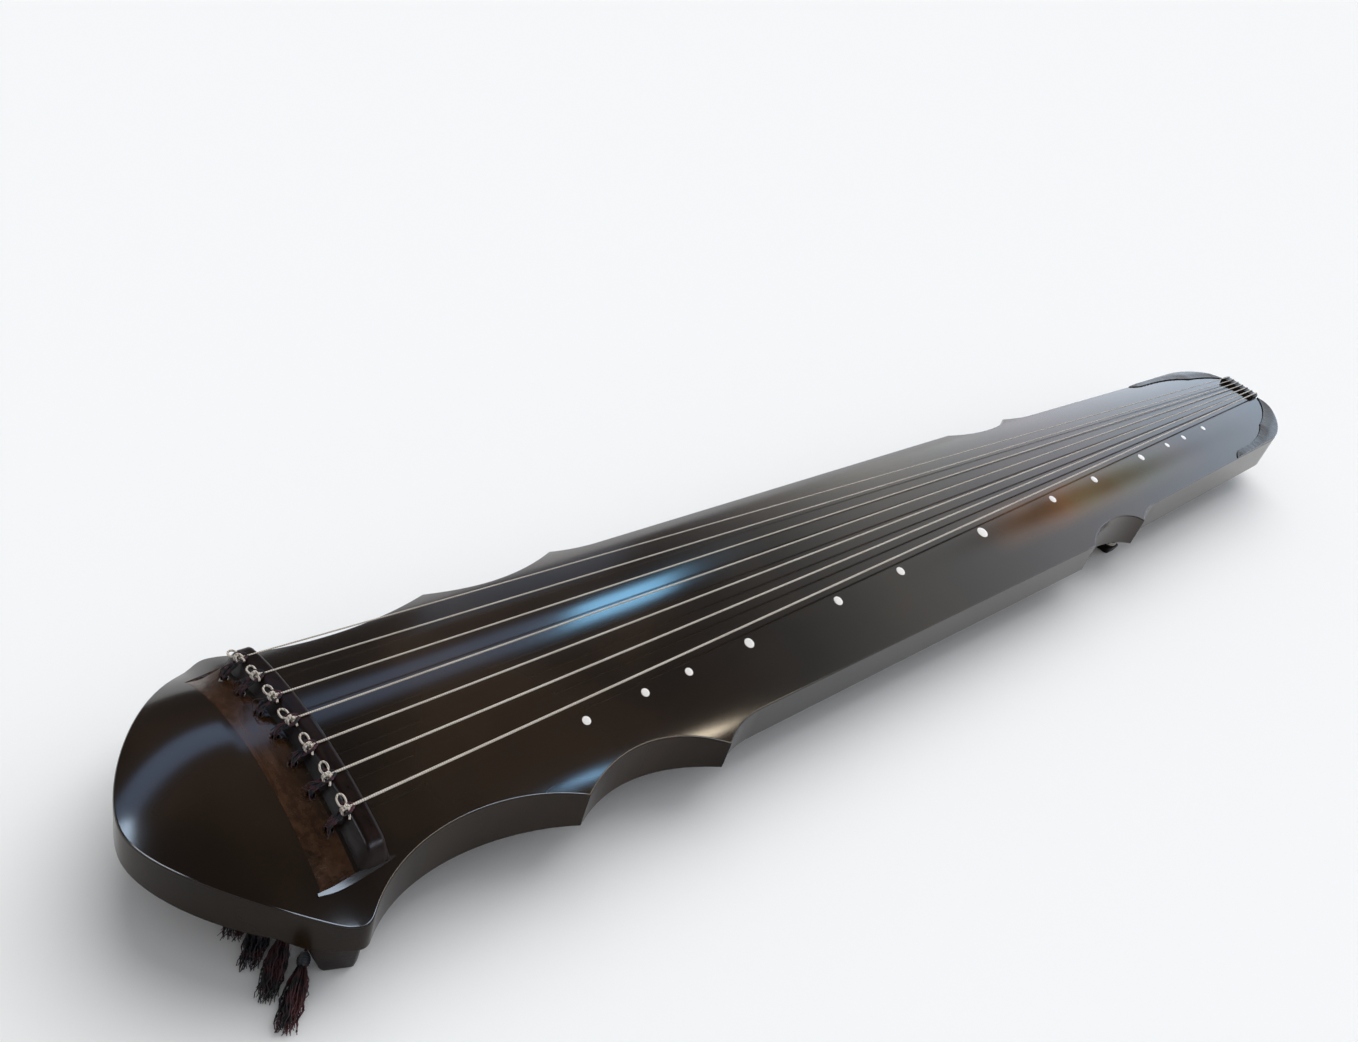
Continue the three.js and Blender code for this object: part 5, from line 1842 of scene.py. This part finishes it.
@dataclass
class Strings:
    """The seven strings with their knots on the bridge and their turns on the feet."""

    finishes: Finishes
    knot_setback: float = 15.0
    knot_hang: float = 2.0
    bend: float = 3.0
    support_length: float = 18.0
    support_drop: float = 5.0
    turns: int = 2
    neck: float = 7.5
    clearance: float = 0.4
    first_turn: float = 0.6
    turn_gap: float = 0.5
    turn_steps: int = 24
    near_strings: int = 4
    knot_thread: float = 0.62

    def arc(self, before: Vector, corner: Vector, after: Vector, radius: float) -> list[Vector]:
        """Points of a rounded corner.

        Args:
            before: a point on the line that arrives.
            corner: the sharp corner.
            after: a point on the line that leaves.
            radius: the corner's radius.

        Returns:
            Nine points.
        """
        back, on = (before - corner).normalized(), (after - corner).normalized()
        half = back.angle(on) / 2
        reach = radius / math.tan(half)
        centre = corner + (back + on).normalized() * (radius / math.sin(half))
        start = corner + back * reach - centre
        end = corner + on * reach - centre
        turn = start.cross(end).normalized()
        sweep = start.angle(end)
        return [Matrix.Rotation(sweep * i / 8, 3, turn) @ start + centre for i in range(9)]

    def winding(self, index: int, arrival: Vector) -> list[Vector]:
        """The turns on a foot, from where the string meets it.

        Args:
            index: the string, from 0 on the markers' side.
            arrival: where it leaves the bar under the tail.

        Returns:
            Its points.
        """
        near = index < self.near_strings
        mates = range(0 if near else self.near_strings, index)
        used = sum((self.turns + 1) * (SHAPE.string_width(i) + self.turn_gap) for i in mates)
        z = SHAPE.stand - self.first_turn - used
        width = SHAPE.string_width(index)
        radius = self.neck + self.clearance + width / 2
        centre = Vector((SHAPE.foot_x, -SHAPE.foot_y if near else SHAPE.foot_y, 0))
        away = Vector((arrival.x - centre.x, arrival.y - centre.y))
        hand = 1 if near else -1
        start = math.atan2(away.y, away.x) + hand * math.acos(radius / away.length)
        points = []
        for i in range(self.turns * self.turn_steps + 1):
            angle = start + hand * FULL_TURN * i / self.turn_steps
            drop = (width + self.turn_gap) * i / self.turn_steps
            spoke = Vector((math.cos(angle), math.sin(angle), 0)) * radius
            points.append(centre + spoke + Vector((0, 0, z - width / 2 - drop)))
        flat = (points[0] - arrival) * Vector((1, 1, 0))
        return points + [points[-1] + flat.normalized() * width]

    def route(self, index: int) -> list[Vector]:
        """The string's line, from its knot over the nut and under the body to its foot.

        Args:
            index: the string, from 0 on the markers' side.

        Returns:
            Its points.
        """
        radius = SHAPE.string_width(index) / 2
        y, y_nut = SHAPE.string_y(index), SHAPE.string_y(index, 1)
        over = SHAPE.crest(SHAPE.length) + SHAPE.nut_height + SHAPE.seat + radius
        end = SHAPE.tail_end + SHAPE.seat + radius
        below = SHAPE.stand - self.support_drop - SHAPE.seat - radius
        start = Vector((-self.knot_setback, y, SHAPE.bridge_top(y) + SHAPE.seat + radius))
        nut = Vector((SHAPE.length, y_nut, over))
        upper, lower = Vector((end, y_nut, over)), Vector((end, y_nut, below))
        under = Vector((SHAPE.tail_end - self.support_length, y_nut, below))
        open_run = [start.lerp(nut, i / 90) for i in range(91)]
        bend = self.bend + radius
        bends = self.arc(nut, upper, lower, bend) + self.arc(upper, lower, under, bend)
        turns = self.winding(index, under)
        back = [under.lerp(turns[0], i / 30) for i in range(30)]
        return open_run + bends + back + turns

    def knot(self, index: int) -> list[Thread]:
        """The fly-head knot: a long eye toward the player, two crossed wraps and a short tail.

        Args:
            index: the string, from 0 on the markers' side.

        Returns:
            Its threads.
        """
        width = SHAPE.string_width(index)
        y = SHAPE.string_y(index)
        tilt = Matrix.Rotation(math.asin(-y / SHAPE.bridge_radius), 3, "X")
        home = Vector((-self.knot_setback, y, SHAPE.bridge_top(y) + SHAPE.seat - self.knot_hang))
        draw = random.Random(71 + index)
        lean = math.radians(draw.uniform(-14, 14))
        turn = tilt @ Matrix.Rotation(lean, 3, "Z")

        lines = [[Vector((2.0 * math.sin(a), 5.4 - 3.6 * math.cos(a), 2.4 + 0.5 * math.sin(a)))
                  for a in [FULL_TURN * (0.06 + 0.88 * i / 24) for i in range(25)]]]
        for k, (at, rise) in enumerate(((-0.9, 0.5), (1.0, -0.4))):
            lines.append([Vector((2.1 * math.cos(a), at + 0.9 * math.sin(a + k) * 0.8,
                                  2.2 + 1.7 * math.sin(a) + rise * 0.2)) for a in full_turn(20)])
        for corners in (
            ((-1.6, 1.6, 1.2), (-0.6, 0.6, 4.2), (1.0, -0.8, 4.1), (1.7, -1.8, 1.5)),
            ((0.2, -1.2, 2.2), (0.9, -3.2, 2.6), (0.4 + lean, -5.4, 1.9)),
            ((0, 0, 2.4), (1.6, 0.2, 2.7), (4.2, 0, width / 2 + self.knot_hang)),
        ):
            lines.append(smoothed([Vector(corner) for corner in corners], 0.5))
        return [even([home + turn @ point for point in line], self.knot_thread) for line in lines]

    def build(self) -> None:
        """Makes every string with its knot as one piece."""
        for index in range(SHAPE.strings):
            route = self.route(index)
            radius = SHAPE.string_width(index) / 2
            threads = [even(route, radius), *self.knot(index)]
            string = spun(f"wound_string_{index + 1}", threads, self.finishes.wire, 10)
            settle(string, "root", Slot.WIRE, f"string_{index + 1}")


@dataclass
class SilkLoops:
    """The twisted silk loops, down the front of the bridge and through the pegs."""

    finishes: Finishes
    width: float = 2.6
    hang: float = 2.0
    apart: float = 1.25
    waver: float = 0.25
    ply: float = 0.46
    ply_turn: float = 5.2
    strand: float = 0.52
    wisps: int = 5
    wisp: float = 0.22

    def path(self, index: int) -> list[Vector]:
        """The middle line of a loop.

        Args:
            index: the loop, from 0 on the markers' side.

        Returns:
            Its points.
        """
        y = SHAPE.string_y(index)
        radius = self.width / 2
        slope = SHAPE.bridge_lean / (SHAPE.bridge_height - 1.2)
        face = -SHAPE.bridge_front - (SHAPE.seat + radius) * math.hypot(1, slope)
        top_x = face + SHAPE.bridge_lean * (1 - (self.hang + SHAPE.seat) / SHAPE.bridge_height)
        top = SHAPE.bridge_top(y) - self.hang - SHAPE.seat
        foot = SHAPE.top(SHAPE.loop_x, y) + 0.4 + self.width
        a = Vector((face, y, foot + self.width))
        d = Vector((SHAPE.loop_x, y, foot - radius))
        down = (a, Vector((face, y, foot + radius)), Vector((SHAPE.loop_x, y, foot + radius)), d)
        start = Vector((top_x, y, top))
        line = [start.lerp(a, i / 12) for i in range(12)] + [bezier(down, i / 12) for i in range(12)]
        return line + [d.lerp(Vector((d.x, y, SHAPE.peg_bottom)), i / 60) for i in range(61)]

    def cords(self, index: int, path: list[Vector]) -> list[Thread]:
        """Two plied cords up the bridge, joined in a bight round the knot.

        Args:
            index: the loop, from 0 on the markers' side.
            path: its middle line.

        Returns:
            Their threads.
        """
        threads = []
        y, top = SHAPE.string_y(index), path[0]
        for side in (-1, 1):
            line = []
            for i, point in enumerate(path):
                fade = min(1.0, max(0.0, (30 - i) / 14))
                apart = self.apart * fade + self.waver * math.sin(i * 0.7 + side)
                line.append(point + Vector((0, side * apart, 0)))
            eye = smoothed([
                Vector((-SHAPE.bridge_front + 8.2, y + side * 0.6, top.z + 3.4)),
                Vector((-SHAPE.bridge_front + 4.4, y + side * 3.3, top.z + 3.4)),
                line[0] + Vector((0.9, side * 1.6, 2.4)),
                line[0],
            ], 0.5)
            strands = plied(eye[:-1] + line, self.ply, self.ply_turn, 3, index + side)
            threads += [even(strand, self.strand) for strand in strands]
        return threads

    def stray(self, index: int, path: list[Vector]) -> list[Thread]:
        """Loose fibres that stand out from a loop's foot.

        Args:
            index: the loop, from 0 on the markers' side.
            path: its middle line.

        Returns:
            Their threads.
        """
        draw = random.Random(31 + index)
        threads = []
        for _ in range(self.wisps):
            start = path[2] + Vector((draw.uniform(-0.8, 0), draw.uniform(-2, 2), 1.6))
            end = path[14] + Vector((draw.uniform(-5, -2), draw.uniform(-5, 5), -0.4))
            end.z = SHAPE.top(end.x, end.y) + 1.0
            aside = Vector((draw.uniform(-3, -1), draw.uniform(-3, 3), draw.uniform(0, 2)))
            mid = start.lerp(end, 0.5) + aside
            threads.append(even(smoothed([start, mid, end], 0.6), self.wisp))
        return threads

    def build(self) -> None:
        """Makes every loop with its loose fibres."""
        for index in range(SHAPE.strings):
            path = self.path(index)
            threads = self.cords(index, path) + self.stray(index, path)
            piece = spun(f"plied_silk_loop_{index + 1}", threads, self.finishes.loop_silk, 8)
            settle(piece, "root", Slot.SILK, f"silk_loop_{index + 1}")


@dataclass
class Tassels:
    """The tassels under the pegs: a plied cord that lies down on the floor, a knot and a skirt of threads."""

    finishes: Finishes
    heading: float = 230.0
    cord: float = 2.0
    bend: float = 4.5
    run: float = 26.0
    sway: float = 1.5
    knot: float = 8.0
    knot_width: float = 7.0
    skirt: float = 38.0
    skirt_width: float = 11.0
    threads: int = 110
    ply: float = 0.5
    ply_turn: float = 6.0
    binds: int = 6
    bind: float = 0.85
    thread: float = 0.3

    def placed(self, index: int, points: list[Vector]) -> list[Vector]:
        """Local points turned to the tassel's heading, in its peg's place.

        Args:
            index: the tassel, from 0 on the markers' side.
            points: local points, with X along the tassel.

        Returns:
            The points.
        """
        turn = Matrix.Rotation(math.radians(self.heading), 3, "Z")
        home = Vector((SHAPE.loop_x, SHAPE.string_y(index), 0))
        return [home + turn @ point for point in points]

    def path(self, index: int) -> list[Vector]:
        """The cord's middle line, in millimetres.

        Args:
            index: the tassel, from 0 on the markers' side.

        Returns:
            Its points.
        """
        low = self.cord / 2
        side = self.sway if index % 2 else -self.sway
        pull = self.bend * (1 - QUARTER)
        start = self.bend + self.cord
        end = self.run - start
        mid = self.run / 2
        top = SHAPE.peg_bottom - SHAPE.seat
        drop = [Vector((0, 0, top)).lerp(Vector((0, 0, low + self.bend)), i / 3) for i in range(3)]
        curves = [
            ((0, 0, low + self.bend), (0, 0, low + pull), (pull, 0, low), (self.bend, 0, low)),
            ((self.bend, 0, low), (start, 0, low), (start, side, low), (mid, side, low)),
            ((mid, side, low), (end, side, low), (end, 0, low), (self.run, 0, low)),
        ]
        line = [bezier(tuple(map(Vector, curve)), i / 10) for curve in curves for i in range(10)]
        return self.placed(index, drop + line + [Vector((self.run, 0, low))])

    def cord_piece(self, index: int) -> bpy.types.Object:
        """The cord, three strands plied.

        Args:
            index: the tassel, from 0 on the markers' side.

        Returns:
            The object.
        """
        path = self.path(index)
        strands = [even(line, self.ply) for line in plied(path, self.ply, self.ply_turn, 3)]
        piece = spun(f"tassel_cord_{index + 1}", strands, self.finishes.tassel_silk, 8)
        return settle(piece, "root", Slot.SILK, f"tassel_{index + 1}")

    def bound_knot(self, index: int) -> list[Thread]:
        """The knot, bound round with thread.

        Args:
            index: the tassel, from 0 on the markers' side.

        Returns:
            Its threads.
        """
        threads = []
        half = self.knot_width / 2
        for k in range(self.binds):
            at = self.run - 0.4 + (k + 0.5) * self.knot / self.binds
            swell = half * (0.62 + 0.38 * math.sin(math.pi * (k + 0.5) / self.binds)) - 0.75
            rise = max(half - 0.2, 1.0)
            ring = [Vector((at, swell * math.cos(a), rise + swell * math.sin(a))) for a in full_turn(18)]
            threads.append(even(self.placed(index, ring), self.bind))
        core = [Vector((self.run - 0.8 + (self.knot + 3) * i / 6, 0, half - 0.2)) for i in range(7)]
        core[0].z = 1.2
        threads.append((self.placed(index, core), [0.9, 1.8, 2.3, 2.4, 2.3, 2.0, 1.4]))
        return threads

    def skirt_thread(self, draw: random.Random) -> list[Vector]:
        """One thread of the skirt, which spreads and waves as it runs out.

        Args:
            draw: the tassel's own random draws.

        Returns:
            Its local points.
        """
        middle = self.knot_width / 2 - 0.2
        angle = FULL_TURN * draw.random()
        out = math.sqrt(draw.random())
        root = Vector((self.run + self.knot - 1.5, 1.9 * out * math.cos(angle),
                       middle + 1.9 * out * math.sin(angle)))
        wide = self.skirt_width / 2 * out
        reach = self.skirt * draw.uniform(0.6, 1.0)
        wave = draw.uniform(0.5, 1.5)
        turns = draw.uniform(2.0, 4.5)
        phase = FULL_TURN * draw.random()
        line = []
        for i in range(11):
            t = i / 10
            swing = phase + turns * FULL_TURN * t
            spread = wide * math.sin(min(t * 1.5, 1) * math.pi / 2)
            y = root.y * (1 - t) + spread * math.cos(angle) + wave * t * math.sin(swing)
            lift = self.skirt_width / 2 * (1 - 0.45 * t)
            z = root.z * (1 - t) + lift * t + 0.8 * spread * math.sin(angle) * (1 - 0.4 * t)
            z += wave * 0.6 * t * math.cos(swing)
            line.append(Vector((root.x + reach * t, y, max(z, 0.35))))
        return line

    def skirt_piece(self, index: int) -> bpy.types.Object:
        """The knot and the threads of the skirt.

        Args:
            index: the tassel, from 0 on the markers' side.

        Returns:
            The object.
        """
        draw = random.Random(400 + index)
        threads = self.bound_knot(index)
        for _ in range(self.threads):
            line = self.placed(index, self.skirt_thread(draw))
            threads.append((line, [self.thread] * 9 + [0.26, 0.2]))
        piece = spun(f"tassel_skirt_{index + 1}", threads, self.finishes.tassel_silk, 4)
        return settle(piece, "root", Slot.SILK)

    def build(self) -> None:
        """Makes every tassel."""
        for index in range(SHAPE.strings):
            cord = self.cord_piece(index)
            skirt = self.skirt_piece(index)
            path = [frame_point(*point) for point in self.path(index)]


def dress_nodes(frame: dict, finishes: Finishes) -> None:
    """Gives every CAD node that stays a finish.

    Args:
        finishes: the finishes.
    """
    by_slot = {
        Slot.LACQUER: finishes.lacquer,
        Slot.ROSEWOOD: finishes.rosewood,
        Slot.CHESTNUT: finishes.chestnut,
        Slot.SHELL: finishes.shell,
        Slot.WIRE: finishes.wire,
        Slot.SILK: finishes.loop_silk,
        Slot.FIR: finishes.fir,
    }
    slots = {part["node"]: Slot(part["material_slot"]) for part in frame["record"]["subparts"]}
    for name, node in frame["nodes"].items():
        for place in node.material_slots:
            place.material = by_slot[slots[name]]


def main(frame: dict) -> None:
    """Builds everything in order.
    """
    logging.basicConfig(level=logging.INFO, format="%(name)s: %(message)s")
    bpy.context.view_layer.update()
    finishes = Finishes()
    Studio().build()
    dress_nodes(frame, finishes)
    Tassels(finishes).build()
    Body(finishes).build()
    HeadFittings(finishes).build()
    Markers(finishes).build()
    Pegs(finishes).build()
    Stands(finishes).build()
    TailFittings(finishes).build()
    Strings(finishes).build()
    SilkLoops(finishes).build()


if __name__ == "__main__":
    main(frame)
